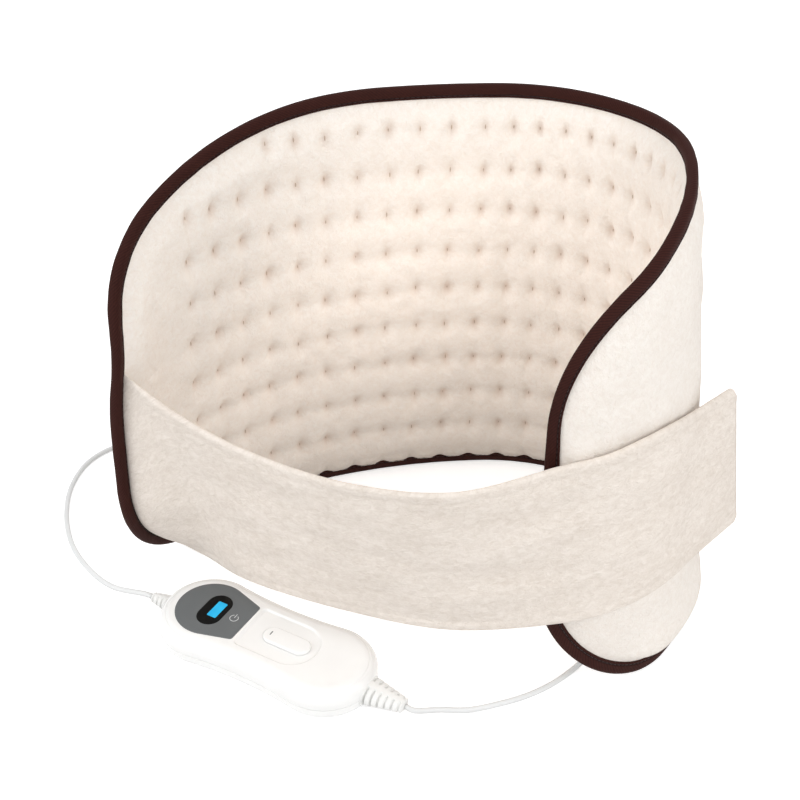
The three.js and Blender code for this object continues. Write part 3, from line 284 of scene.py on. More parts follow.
def ease(low, high, value):
    """Smooth step: 0 below low, 1 above high, and a cubic with level ends between them."""
    t = np.clip((value - low) / (high - low), 0, 1)
    return t * t * (3 - 2 * t)


def unevenness(u, v, size, seed, waves=18):
    """Soft irregular waves of about one unit: a sum of cosines with random directions, lengths near the
    given size and random phases."""
    random = np.random.default_rng(seed)
    total = np.zeros(np.broadcast(u, v).shape)
    for turn, length, phase in zip(*random.random((3, waves))):
        angle = 2 * math.pi * turn
        wave = 2 * math.pi / (size * (0.7 + 1.2 * length))
        total += np.cos(wave * (u * math.cos(angle) + v * math.sin(angle)) + 2 * math.pi * phase)
    return total / math.sqrt(waves / 2)


def lumps(kinds, u, v):
    """Sum of uneven waves, each kind with its own height, size and seed."""
    return sum(height * unevenness(u, v, size, seed) for height, size, seed in kinds)


def grid_faces(rows, columns, wrap_rows=False):
    """Quads between neighbours of a grid of points, with each row closed, and the last row joined to the
    first where asked."""
    index = np.arange(rows * columns).reshape(rows, columns)
    if wrap_rows:
        index = np.vstack([index, index[:1]])
    index = np.hstack([index, index[:, :1]])
    return stacked(index[:-1, :-1], index[1:, :-1], index[1:, 1:], index[:-1, 1:]).reshape(-1, 4)


def piece(name, points, material, body, stands_for=(), faces=None, uv=None):
    """A mesh object at the origin that rides on a body and stands for CAD nodes. Its points are closed
    rings, skinned in order with a flat face at each end, unless faces are given. Faces look outward."""
    corners = points.reshape(-1, 3)
    if faces is None:
        rings, count = points.shape[:2]
        last = range(rings * count - 1, (rings - 1) * count - 1, -1)
        faces = grid_faces(rings, count).tolist() + [list(range(count)), list(last)]
    mesh = bpy.data.meshes.new(name)
    mesh.from_pydata(corners, [], faces)
    mesh.calc_loop_triangles()
    triangles = np.empty(len(mesh.loop_triangles) * 3, np.int32)
    mesh.loop_triangles.foreach_get("vertices", triangles)
    a, b, c = corners[triangles.reshape(-1, 3)].transpose(1, 0, 2)
    if (a * np.cross(b, c)).sum() < 0:
        mesh.flip_normals()
    mesh.polygons.foreach_set("use_smooth", np.ones(len(mesh.polygons), bool))
    if uv is not None:
        corner = np.empty(len(mesh.loops), np.int32)
        mesh.loops.foreach_get("vertex_index", corner)
        mesh.uv_layers.new(name="surface").data.foreach_set("uv", uv.reshape(-1, 2)[corner].ravel())
    mesh.materials.append(material)
    made = bpy.data.objects.new(name, mesh)
    scene.collection.objects.link(made)
    if body:
        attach(made, body)
    if stands_for:
        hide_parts(*stands_for)
    return made


def mark(made, name, values):
    """A number for each point of a piece, kept under a name that its material reads."""
    kept = made.data.attributes.new(name, "FLOAT", "POINT").data
    kept.foreach_set("value", values.ravel().astype(np.float32))


def swell(edge):
    """How far the pad has swollen at a distance from its edge: 0 under the tape, 1 at full thickness."""
    return 1 - (1 - np.clip((edge - HEM) / PINCH_REACH, 0, 1)) ** 2


def pinched(edge, distance):
    """Distance from the mid surface that a layer keeps where the pad is pressed thin towards its edge."""
    return PINCH_CENTRE + (distance - PINCH_CENTRE) * (PINCH + (1 - PINCH) * swell(edge))


def quilt(s, z):
    """Rise of the quilted face above the hem, and how near a tuft each point is. Pillows stand between the
    tufts; each tuft pulls a wide hollow and a narrow pit, and shallow valleys join them along rows and
    columns. The margin swells from the tape, and over the lower tape it bulges out between the columns."""
    column = (s - TUFT_FIRST) / TUFT_PITCH
    row = (z - TUFT_ROW_FIRST) / TUFT_ROW_PITCH
    i = np.clip(np.round(column), 0, TUFT_COLUMNS - 1).astype(int)
    j = np.clip(np.round(row), 0, TUFT_ROWS - 1).astype(int)
    aside, above = s - tuft_s[i, j], z - tuft_z[i, j]
    pull = tuft_sewn[i, j] * tuft_pull[i, j]
    hollow = pull * hump(np.hypot(aside, HOLLOW_SQUASH * above), 0, HOLLOW_RADIUS)
    pit = pull * hump(np.hypot(aside, above / PIT_TALL), 0, PIT_RADIUS)
    on_row, on_column = ((0.5 + 0.5 * np.cos(2 * math.pi * t)) ** VALLEY_SHARP for t in (row, column))
    edge = edge_distance(s, z)
    in_columns = ease(*SEWN_ENDS, column) * ease(*SEWN_ENDS, TUFT_COLUMNS - 1 - column)
    scallop = SCALLOP * in_columns * ease(*SCALLOP_BAND, z) * (1 - on_column)
    margin = MARGIN_RISE * swell(edge + 2 * scallop)
    valleys = ((ROW_VALLEY + ROW_VALLEY_LOW * ease(*LOW_BAND, z)) * on_row
               + (COLUMN_VALLEY + COLUMN_VALLEY_RIGHT * ease(*RIGHT_BAND, s)) * on_column)
    pillow = ease(*SEWN_BAND, edge) * in_columns * (CROWN_RISE - MARGIN_RISE - CROWN_RISE * valleys)
    sunk = TUFT_DEPTH * (HOLLOW_SHARE * hollow + PIT_SHARE * pit)
    uneven = ease(*INNER_BAND, edge) * lumps(INNER_LUMPS, s, z)
    over_tape = SCALLOP_PUFF * scallop * hump(edge, SCALLOP_AT, SCALLOP_HALF)
    return margin + pillow - sunk + uneven + over_tape, pit


def inner_face(s, z):
    """The quilted face of the inner cover, pressed thin where it runs under the tape."""
    return pinched(edge_distance(s, z), HEM_FACE + quilt(s, z)[0])


def outer_face(s, z):
    """The smooth outer cover: softly uneven, pressed thin where it runs under the tape, and bulging over
    the tape at the right end's lower corner."""
    edge = edge_distance(s, z)
    puff = ease(*OUTER_BAND, edge) * (OUTER_PUFF + lumps(OUTER_LUMPS, s, z))
    bulge = ease(*BULGE_START, s) * ease(*BULGE_END, s) * ease(*BULGE_EDGE, edge) * ease(*BULGE_LOW, z)
    return pinched(edge, OUTER_FACE - puff) - BULGE * bulge


def level(distance):
    """A plain face: one distance from the mid surface all over, pressed thin towards the edge."""
    return lambda s, z: pinched(edge_distance(s, z), distance)


def layer(name, node, step, rows, face, back, material):
    """Closed sheet between two faces of the pad, with the places of its first face. Each face is a function
    of s and z that gives its distance from the mid surface. Stations lie close together round the end
    corners and evenly between them; a ring at each goes up the first face and down the second."""
    ends = CORNER - (CORNER - LAYER_INSET) * np.cos(np.linspace(0, math.radians(72), 30))
    middle = np.linspace(ends[-1], PAD_LENGTH - ends[-1], round((PAD_LENGTH - 2 * ends[-1]) / step) + 1)
    s = np.concatenate([ends[:-1], middle, PAD_LENGTH - ends[-2::-1]])[:, None]
    low, high = edges(s, LAYER_INSET)
    up = low + (high - low) * np.linspace(0, 1, rows[0])
    down = high + (low - high) * np.linspace(0, 1, rows[1])
    points = np.concatenate([pad_point(s, up, face(s, up)), pad_point(s, down, back(s, down))], axis=1)
    uv = stacked(s, np.concatenate([up, down], axis=1))
    return piece(name, points, material, "belt", [node], uv=uv), s, up


# The third colour, ccb19e, is painted shade for the pits of the tufts.
quilted_plush = plush("quilted plush", "fdf7f0", "f6ece2", pit_shade="ccb19e")
inner_rows = (150, 6)
inner_cover, inner_s, inner_z = layer("inner_cover", "pad_inner_cover", 0.00208, inner_rows, inner_face,
                                      level(INNER_BACK), quilted_plush)
# Painted shade: each point's share of the browner pit colour, strongest in the pits.
painted_pit_shade = np.clip(PIT_SHADE_SHARE * quilt(inner_s, inner_z)[1], 0, 1)
mark(inner_cover, "tuft", np.pad(painted_pit_shade, ((0, 0), (0, inner_rows[1]))))
outer_plush = plush("outer plush", "faf4ed", "f1e8df")
outer_cover = layer("outer_cover", "pad_outer_cover", 0.0035, (90, 6), outer_face, level(OUTER_BACK),
                    outer_plush)[0]

fibre_fill, fill_tree, fill_shader = blank_material("fibre fill")
fill_noise = noise(fill_tree, add(fill_tree, "TexCoord")["Object"], 400, 4, Distortion=2)
fill_colour = between(fill_tree, fill_noise, "e9e6df", "faf9f5")
wire_up(fill_tree, fill_shader, {"Base Color": fill_colour, "Roughness": 1.0})
wadding = layer("wadding", "pad_wadding", 0.008, (30, 30), level(WADDING_TO), level(WADDING_FROM),
                fibre_fill)[0]

# Tuft stitches: cream sewing thread, sewn through the inner cover. A short upright stitch holds each tuft
# and lies sunk in its pit.
TUFT_STITCH = (0.0036, 0.00035, 0.0002)
TUFT_STITCH_RAISED = 0.00021
UPWARD = np.array([0.0, 0.0, 1.0])


def unit(rows):
    """The same directions with a length of one."""
    return rows / np.linalg.norm(rows, axis=-1, keepdims=True)


def circle(steps):
    """Angles once round a circle, in even steps."""
    return np.linspace(0, 2 * math.pi, steps, endpoint=False)


def stitches(name, size, places, ahead, out, material, body, slot):
    """Piece of many stitches. One is a six-sided thread that thins to both ends and arches outward; its size
    is a length, a radius and an arch. A copy lies at each place, along ahead and arched along out."""
    length, radius, arch = size
    part = np.array([-1.0, -0.6, 0.0, 0.6, 1.0])[:, None]
    thick = radius * (1 - 0.65 * part ** 2)
    angle = circle(6)
    shape = stacked(part * length / 2, thick * np.cos(angle), thick * np.sin(angle) + arch * (1 - part ** 2))
    ends = [[0, 1, 2, 3], [0, 3, 4, 5], [27, 26, 25, 24], [29, 28, 27, 24]]
    faces = np.vstack([grid_faces(*shape.shape[:2]), ends])
    along = unit(ahead)
    across = unit(np.cross(out, along))
    axes = np.stack(np.broadcast_arrays(along, across, np.cross(along, across)), axis=1)
    points = places[:, None] + np.einsum("kc,ncd->nkd", shape.reshape(-1, 3), axes)
    faces = faces[None] + shape.size // 3 * np.arange(len(places))[:, None, None]
    return piece(name, points, material, body, faces=faces.reshape(-1, 4).tolist())


plies, plies_in, plies_out = effect("twisted plies", ["Place"], ["Tone"])
twist = add(plies, "TexWave", {"Vector": plies_in["Place"], "Scale": 900, "Distortion": 1.5},
            bands_direction="DIAGONAL")
wire_up(plies, plies_out, {"Tone": ranged(plies, twist["Fac"], 0.7, 1.1)})


def thread(name, colour):
    """Twisted sewing thread: fine slanted plies lighten and darken the colour."""
    made, tree, shader = blank_material(name)
    tone = add(tree, "Group", {"Place": add(tree, "TexCoord")["Object"]}, node_tree=plies)["Tone"]
    wire_up(tree, shader, {"Base Color": toned(tree, colour, tone), "Roughness": 0.7, "Sheen Weight": 0.2})
    return made


held_s, held_z = tuft_s[tuft_sewn], tuft_z[tuft_sewn]
held_at = pad_point(held_s, held_z, inner_face(held_s, held_z) + TUFT_STITCH_RAISED)
held_out = pad_point(held_s, held_z, 0.01) - pad_point(held_s, held_z, 0.0)
stitches("tuft_stitches", TUFT_STITCH, held_at, UPWARD, held_out, thread("cream thread", "c9b39f"),
         "belt", "plush_inner")

# Heating element: insulated wire laid up and down between the columns, with two thermal cut-outs, all
# between the wadding and the inner cover. The solids have the right form, so they only get their finish.
skin, skin_in, skin_out = effect("moulded skin", ["Place", "Scale"], ["Tone", "Grain"])
wire_up(skin, skin_out, {"Tone": ranged(skin, noise(skin, skin_in["Place"], 45, 2), 0.95, 1.04),
                         "Grain": noise(skin, skin_in["Place"], skin_in["Scale"], 3)})


def moulded(name, colour, roughness, coat=0.0, bump=0.00004, metallic=0.0, scale=500, specular=0.5):
    """Moulded or drawn surface: a fine uneven skin varies its tone, its gloss and its bump a little."""
    made, tree, shader = blank_material(name)
    place = add(tree, "TexCoord")["Object"]
    uneven = add(tree, "Group", {"Place": place, "Scale": scale}, node_tree=skin)
    wire_up(tree, shader, {"Base Color": toned(tree, colour, uneven["Tone"]),
                           "Roughness": ranged(tree, uneven["Grain"], 0.8 * roughness, 1.2 * roughness),
                           "Normal": raised(tree, uneven["Grain"], 0.4, bump), "Metallic": metallic,
                           "Coat Weight": coat, "Coat Roughness": 0.08, "Specular IOR Level": specular})
    return made


def finish_nodes(material, *names):
    """Gives CAD nodes that keep their shape a finish."""
    for name in names:
        nodes[name].data.materials.clear()
        nodes[name].data.materials.append(material)


steel = moulded("plain steel", "b9bcbe", 0.3, metallic=1.0)
finish_nodes(moulded("wire sleeve", "b8453a", 0.45), "heating_wire")
finish_nodes(steel, "thermal_cutout_left", "thermal_cutout_right")

# Binding: brown twill tape folded over the raw edge all round and sewn down by a seam near its inner edge,
# which presses it in. It is folded wider low down at the right end.
TAPE_WIDTH, TAPE_THICKNESS, TAPE_GAP = 0.008, 0.0010, 0.0004
TAPE_HALF = PINCH * (HEM_FACE - PINCH_CENTRE) + TAPE_GAP + TAPE_THICKNESS
TAPE_FOLD, TAPE_FULLNESS = 0.0042, 2.4
TAPE_SEAM, SEAM_PRESS, SEAM_HALF = 0.0064, 0.0005, 0.0004
TAPE_LIP = (0.0072, TAPE_WIDTH)
TAPE_WIDER, WIDER_END, WIDER_LOW = 0.25, (0.55, 0.63), (0.21, 0.13)
OUTLINE_STEP = 0.0028
SEAM_STITCH, SEAM_PITCH = (0.0024, 0.00022, 0.00005), 0.0034


def outline(step):
    """The pattern's edge, once round: places s and z with the inward direction at each. Every stretch is an
    arc about its own centre, or a straight run, with points about one step apart."""
    right = PAD_LENGTH - CORNER
    rise = math.atan2(CORNER_TOP - DOME_CENTRE, DOME_START - CORNER)
    half = math.pi / 2
    stretches = [
        ((CORNER, 0), (right, 0)), ((right, CORNER), CORNER, -half, 0),
        ((PAD_LENGTH, CORNER), (PAD_LENGTH, CORNER_TOP)), ((right, CORNER_TOP), CORNER, 0, rise),
        ((PAD_LENGTH - DOME_START, DOME_CENTRE), DOME, rise, half),
        ((PAD_LENGTH - DOME_START, PAD_HEIGHT), (DOME_START, PAD_HEIGHT)),
        ((DOME_START, DOME_CENTRE), DOME, half, math.pi - rise),
        ((CORNER, CORNER_TOP), CORNER, math.pi - rise, math.pi),
        ((0, CORNER_TOP), (0, CORNER)), ((CORNER, CORNER), CORNER, math.pi, 3 * half),
    ]
    places, inwards = [], []
    for stretch in stretches:
        if len(stretch) == 2:
            start, end = np.array(stretch)
            length = np.linalg.norm(end - start)
            count = max(round(length / step), 1)
            places.append(start + (end - start) * np.arange(count)[:, None] / count)
            inwards.append(np.tile([start[1] - end[1], end[0] - start[0]], (count, 1)) / length)
        else:
            centre, radius, first, last = stretch
            count = max(round(radius * (last - first) / step), 1)
            angle = first + (last - first) * np.arange(count) / count
            inwards.append(-stacked(np.cos(angle), np.sin(angle)))
            places.append(np.array(centre) - radius * inwards[-1])
    return np.vstack(places), np.vstack(inwards)


def squarish(angle, power):
    """Cosine and sine of angles, each raised to a power with its sign kept, which squares a circle off."""
    return [np.sign(wave) * np.abs(wave) ** power for wave in (np.cos(angle), np.sin(angle))]


def tape_section(shrink):
    """Half width and depth along the folded tape, from its outer face round the fold to its inner face: a
    squared circle for the fold and two legs pressed in along the seam, all drawn in by a shrink."""
    half = TAPE_HALF - shrink
    fold_cos, fold_sin = squarish(np.linspace(-math.pi / 2, math.pi / 2, 19), 2 / TAPE_FULLNESS)
    depth = shrink + (TAPE_FOLD - shrink) * (1 - fold_cos)
    legs = np.linspace(TAPE_WIDTH, TAPE_FOLD, 13)[:-1]
    pressed = half - SEAM_PRESS * (hump(legs, TAPE_SEAM, SEAM_HALF) + ease(*TAPE_LIP, legs))
    side = np.concatenate([-pressed, half * fold_sin, pressed[::-1]])
    return side, np.concatenate([legs, depth, legs[::-1]])


def tape_width(place):
    """Width of the folded tape at places of the edge, as a share: wider low down at the right end."""
    return 1 + TAPE_WIDER * (ease(*WIDER_END, place[:, 0]) * ease(*WIDER_LOW, place[:, 1]))[:, None]


def distance_along(line):
    """Distance from a line's start at each of its points."""
    return np.concatenate([[0], np.cumsum(np.linalg.norm(np.diff(line, axis=0), axis=1))])


edge_at, edge_in = outline(OUTLINE_STEP)
edge_run = np.arange(len(edge_at)) * OUTLINE_STEP
tape_sections = zip(tape_section(0), tape_section(TAPE_THICKNESS))
tape_side, tape_depth = (np.concatenate([outside, inside[::-1]]) for outside, inside in tape_sections)
tape_gather = 1 + 0.02 * unevenness(edge_run, 0 * edge_run, 0.014, 5)[:, None]
tape_flat = edge_at[:, None] + edge_in[:, None] * (tape_width(edge_at) * tape_depth)[..., None]
tape_points = pad_point(tape_flat[..., 0], tape_flat[..., 1], PINCH_CENTRE - tape_side[None] * tape_gather)
tape_uv = stacked(edge_run[:, None], distance_along(stacked(tape_side, tape_depth))[None])
# Painted shade: how far the tape is darkened in the groove that the seam presses in.
seam_groove_shade = np.broadcast_to(0.9 * hump(tape_depth, TAPE_SEAM, 0.0005), tape_points.shape[:2])

brown_tape, tape_tree, tape_shader = blank_material("brown tape")
tape_place = add(tape_tree, "UVMap", uv_map="surface")[0]
tape_turned = add(tape_tree, "Mapping", {"Vector": tape_place, "Rotation": (0, 0, math.radians(52))})[0]
ribs = add(tape_tree, "TexWave", {"Vector": tape_turned, "Scale": 220, "Distortion": 0.6, "Detail": 1})["Fac"]
lint = noise(tape_tree, tape_place, 600, 3)
worn = noise(tape_tree, tape_place, 30, 2)
tape_tone = weighted(tape_tree, (ribs, 0.35), (lint, 0.35), (worn, 0.3))
# Painted shade: along the seam's groove the tape goes to near black, 120504.
seam_shade_share = add(tape_tree, "Attribute", attribute_name="seam")["Fac"]
tape_colour = between(tape_tree, seam_shade_share, between(tape_tree, tape_tone, "200c0a", "401f19"), "120504")
tape_relief = raised(tape_tree, weighted(tape_tree, (ribs, 0.6), (lint, 0.4)), 0.5, 0.0003)
wire_up(tape_tree, tape_shader, {"Base Color": tape_colour, "Normal": tape_relief, "Roughness": 0.75,
                                 "Specular IOR Level": 0.12, "Sheen Weight": 0.04, "Sheen Roughness": 0.4,
                                 "Sheen Tint": "8a4a38"})
binding = piece("binding_tape", tape_points, brown_tape, "belt", ["edge_binding"],
                grid_faces(len(edge_at), len(tape_side), True).tolist(), tape_uv)
mark(binding, "seam", seam_groove_shade)

seam_at, seam_in = outline(SEAM_PITCH)
seam_flat = seam_at + seam_in * TAPE_SEAM * tape_width(seam_at)
seam_next = seam_flat + 0.05 * (np.roll(seam_flat, -1, axis=0) - np.roll(seam_flat, 1, axis=0))
seam_places, seam_ahead, seam_out = [], [], []
for side in (1, -1):
    seam_face = PINCH_CENTRE + side * (TAPE_HALF - SEAM_PRESS)
    place = pad_point(*seam_flat.T, seam_face)
    seam_places.append(place)
    seam_ahead.append(pad_point(*seam_next.T, seam_face) - place)
    seam_out.append(side * (pad_point(*seam_flat.T, seam_face + 0.01) - place))
stitches("binding_stitches", SEAM_STITCH, *map(np.vstack, (seam_places, seam_ahead, seam_out)),
         thread("brown thread", "24100e"), "belt", "binding_tape")

# Strap: a wide band of plush, hemmed on both long sides. One end is sewn in at the pad's left end, the
# other grips the outside of the right end by a hook patch, and its tip stands free.
ROOT_INSET = 0.0076
ROOT_DISTANCE = 0.0019
ROOT_ROUND = math.radians(59)
ROOT_HIGH = 0.172
ROOT_REACH = 0.055
STRAP_GRIP = -0.0114


def strap_root(share):
    """The strap's sewn edge, tucked under the tape: round the lower corner, then straight up the end."""
    radius = CORNER - ROOT_INSET
    run = np.asarray(share, float) * (radius * ROOT_ROUND + ROOT_HIGH - CORNER)
    angle = ROOT_ROUND * np.clip(1 - run / (radius * ROOT_ROUND), 0, 1)
    up = np.maximum(run - radius * ROOT_ROUND, 0)
    return pad_point(CORNER - radius * np.cos(angle), CORNER - radius * np.sin(angle) + up, ROOT_DISTANCE)


STRAP_PAIRS = [
    (strap_root(0), strap_root(1)),
    ((-0.138, -0.022, 0.036), (-0.152, -0.0355, 0.160)),
    ((-0.107, -0.0625, 0.052), (-0.107, -0.0705, 0.157)),
    ((-0.047, -0.0925, 0.056), (-0.047, -0.1065, 0.161)),
    ((0.010, -0.1115, 0.060), (0.010, -0.1185, 0.164)),
    *((pad_point(s, low, STRAP_GRIP), pad_point(s, high, STRAP_GRIP)) for s, low, high in (
        (0.650, 0.062, 0.168), (0.625, 0.066, 0.173), (0.600, 0.069, 0.177),
        (0.575, 0.070, 0.176), (0.552, 0.067, 0.170))),
    ((0.188, -0.0165, 0.060), (0.172, -0.0265, 0.167)),
]
STRAP_CUT = (0.440, 0.110)
STRAP_STEPS, STRAP_COLUMNS = 24, 74
STRAP_THICKNESS = 0.0040
STRAP_HEM, HEM_RISE, HEM_BAND = 0.0065, 0.0002, (0.0075, 0.0045)
HEM_SEAM, HEM_SEAM_HALF = 0.0004, 0.0013
TIP_ROUND = 0.0035
ROOT_BAND, ROOT_THIN = (0.0, 0.03), 0.3


def through(points, steps):
    """Smooth line through points, with so many steps on each span: a centripetal Catmull-Rom curve, written
    as cubics whose end slopes come from the square roots of the spans' lengths."""
    points = np.asarray(points, float)
    row = np.vstack([2 * points[0] - points[1], points, 2 * points[-1] - points[-2]])
    a, b, c, d = row[:-3], row[1:-2], row[2:-1], row[3:]
    ab, bc, cd = (np.linalg.norm(q - p, axis=1, keepdims=True) ** 0.5 for p, q in ((a, b), (b, c), (c, d)))
    leave = ((b - a) / ab - (c - a) / (ab + bc) + (c - b) / bc) * bc
    arrive = ((c - b) / bc - (d - b) / (bc + cd) + (d - c) / cd) * bc
    t = (np.arange(steps) / steps)[None, :, None]
    b, c, leave, arrive = (value[:, None] for value in (b, c, leave, arrive))
    curve = ((2 * t ** 3 - 3 * t ** 2 + 1) * b + (t ** 3 - 2 * t ** 2 + t) * leave
             + (3 * t ** 2 - 2 * t ** 3) * c + (t ** 3 - t ** 2) * arrive)
    return np.vstack([curve.reshape(-1, 3), points[-1]])


strap_low, strap_high = (through([pair[edge] for pair in STRAP_PAIRS], STRAP_STEPS) for edge in (0, 1))
strap_middle = (strap_low + strap_high) / 2
strap_ahead = np.gradient(strap_middle, axis=0)
strap_in = unit(np.cross(UPWARD, strap_ahead))
strap_run = distance_along(strap_middle)
strap_end = strap_run[-1] - strap_run
strap_wide = np.linalg.norm(strap_high - strap_low, axis=1)[:, None]
strap_trim = TIP_ROUND - np.sqrt(TIP_ROUND ** 2 - np.maximum(TIP_ROUND - strap_end, 0) ** 2)
strap_trim = unit(strap_high - strap_low) * strap_trim[:, None]
strap_low, strap_high = strap_low + strap_trim, strap_high - strap_trim


def strap_point(rise, inward):
    """Points of the strap: a share of the way up between its two edge lines, bent near the root to the sewn
    edge, then towards the wearer."""
    ruling = strap_low[:, None] + (strap_high - strap_low)[:, None] * rise[None, :, None]
    bent = ease(ROOT_REACH, 0.0, strap_run)[:, None, None] * (strap_root(rise) - ruling[0])[None]
    return ruling + bent + strap_in[:, None] * np.asarray(inward)[..., None]


def strap_half(rise):
    """Half the strap's thickness at a share of its width: rounded edges, thicker hems and a sunk seam line,
    thin at the root."""
    x = np.minimum(rise, 1 - rise)[None] * strap_wide
    rounded = np.sqrt(np.clip(1 - (1 - np.clip(2 * x / STRAP_THICKNESS, 0, 1)) ** 2, 0, 1))
    hem = HEM_RISE * ease(*HEM_BAND, x)
    seam = HEM_SEAM * hump(np.minimum(x, strap_end[:, None]), STRAP_HEM, HEM_SEAM_HALF)
    root = ROOT_THIN + (1 - ROOT_THIN) * ease(*ROOT_BAND, strap_run)[:, None]
    return rounded * (STRAP_THICKNESS / 2 + hem - seam) * root


strap_rise = 0.5 - 0.5 * np.cos(np.linspace(0, math.pi, STRAP_COLUMNS))
strap_up = STRAP_CUT[1] * strap_rise[None]
strap_lumps = lumps([(0.0005, 0.07, 6)], strap_run[:, None], 3 * strap_up)
strap_lumps += lumps([(0.00015, 0.016, 7)], strap_run[:, None], strap_up)
strap_lumps *= ease(0.0, 0.12, np.minimum(strap_rise, 1 - strap_rise))[None]
strap_lumps *= (ease(*ROOT_BAND, strap_run) * ease(*ROOT_BAND, strap_end))[:, None]
strap_down = slice(-2, 0, -1)
strap_points = np.concatenate([
    strap_point(strap_rise, strap_lumps - strap_half(strap_rise)),
    strap_point(strap_rise[strap_down], (strap_lumps + strap_half(strap_rise))[:, strap_down])], axis=1)
strap_across = np.concatenate([strap_rise, strap_rise[strap_down]])[None] * strap_wide
# Painted shade: the strap is cut from the pad's plush, but its creams are darker, to stand for the shade that
# falls on it.
shaded_strap_plush = plush("shaded strap plush", "f2e9e0", "e0d5ca", stretch=(0.65, 1, 1))
strap = piece("strap_band", strap_points, shaded_strap_plush, None, ["strap"],
              uv=stacked(strap_run[:, None], strap_across))
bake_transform(strap)

# Hook patch: a strip of nylon hook tape sewn inside the strap's end. Its small hooks stand in rows and grip
# the plush of the outer cover.
HOOK_SPAN, HOOK_MARGIN, HOOK_COLUMNS = (0.7, 0.875), 0.08, 40
HOOK_BASE, HOOK_TAPE = 0.0023, 0.0010
HOOK = (0.0012, 0.0002, 0.0006)
hook_part = np.arange(len(strap_run)) / (len(strap_run) - 1)
hook_rows = np.flatnonzero((hook_part >= HOOK_SPAN[0]) & (hook_part <= HOOK_SPAN[1]))
hook_rise = np.linspace(HOOK_MARGIN, 1 - HOOK_MARGIN, HOOK_COLUMNS)
hook_under = strap_point(hook_rise, HOOK_BASE)[hook_rows]
hook_over = strap_point(hook_rise[::-1], HOOK_BASE + HOOK_TAPE)[hook_rows]
hook_tape = moulded("hook tape", "e6ded4", 0.7, bump=0.0003, scale=1200)
piece("hook_tape_patch", np.concatenate([hook_under, hook_over], axis=1), hook_tape, "strap",
      ["strap_hook_patch"])
hook_at = hook_over[:, 1:-1]
hook_ahead, hook_out = (np.repeat(rows[hook_rows], hook_at.shape[1], axis=0)
                        for rows in (strap_ahead, strap_in))
stitches("hook_loops", HOOK, hook_at.reshape(-1, 3), hook_ahead, hook_out, hook_tape, "strap", "hook_tape")

# Seam tab: the strap's sewn end, a thin tab of plush turned in at the pad's left end. It is sewn to the
# inner cover's margin and pressed flat into its pile.
TAB_FROM, TAB_LENGTH = 0.018, 0.026
TAB_LOW, TAB_HIGH = 0.060, 0.162
TAB_SUNK, TAB_THICKNESS = 0.0006, 0.0012
TAB_EDGE, TAB_EDGE_THIN = 0.009, 0.1
tab_s = np.linspace(TAB_FROM, TAB_FROM + TAB_LENGTH, 16)[:, None]
tab_up = np.linspace(TAB_LOW, TAB_HIGH, 50)[None]
tab_edge = np.minimum(np.minimum(tab_s - TAB_FROM, TAB_FROM + TAB_LENGTH - tab_s),
                      np.minimum(tab_up - TAB_LOW, TAB_HIGH - tab_up))
tab_base = inner_face(tab_s, tab_up) - TAB_SUNK
tab_top = tab_base + TAB_THICKNESS * (TAB_EDGE_THIN + (1 - TAB_EDGE_THIN) * ease(0, TAB_EDGE, tab_edge))
tab_points = np.concatenate([pad_point(tab_s, tab_up, tab_top),
                             pad_point(tab_s, tab_up[:, ::-1], tab_base[:, ::-1])], axis=1)
seam_tab = piece("seam_tab", tab_points, quilted_plush, "belt", ["strap_seam_tab"],
                 uv=stacked(tab_s, np.concatenate([tab_up, tab_up[:, ::-1]], axis=1)))

# Cable gland: white rubber moulded round the lead and sewn to the inner face near the right end. It is
# round at the back and has a ribbed tail towards its mouth.
GLAND_AT = (0.590, 0.017)
GLAND_LENGTH, GLAND_HALF, GLAND_WIDE, GLAND_GAP = 0.034, 0.006, 1.15, 0.0003
GLAND_SEAT = edge_distance(GLAND_AT[0] - GLAND_LENGTH / 3, GLAND_AT[1])
GLAND_CENTRE = pinched(GLAND_SEAT, HEM_FACE + MARGIN_RISE * swell(GLAND_SEAT)) + GLAND_GAP + GLAND_HALF
GLAND_BACK, GLAND_TAPER, GLAND_TAPER_BAND = 0.14, 0.42, (0.48, 0.92)
GLAND_RIB, GLAND_RIB_BAND, GLAND_RIB_PITCH = 0.06, (0.5, 0.56), 0.11
gland_part = np.linspace(0, 1, 90)
gland_body = np.sqrt(np.clip(1 - (1 - np.clip(gland_part / GLAND_BACK, 0, 1)) ** 2, 0, 1))
gland_taper = 1 - GLAND_TAPER * ease(*GLAND_TAPER_BAND, gland_part)
gland_wave = np.cos(2 * math.pi * (gland_part - GLAND_RIB_BAND[0]) / GLAND_RIB_PITCH)
gland_ribs = GLAND_RIB * ease(*GLAND_RIB_BAND, gland_part) * gland_wave
gland_size = GLAND_HALF * np.maximum(gland_body * (gland_taper + gland_ribs), 0.02)[:, None]
gland_angle = circle(32)[None]
gland_points = pad_point(GLAND_AT[0] - GLAND_LENGTH * (0.5 - gland_part[:, None]),
                         GLAND_AT[1] + GLAND_WIDE * gland_size * np.cos(gland_angle),
                         GLAND_CENTRE + gland_size * np.sin(gland_angle))
white_rubber = moulded("white rubber", "f1f1ef", 0.42, bump=0.00003)
piece("cable_gland", gland_points, white_rubber, "belt", ["pad_cable_gland"])

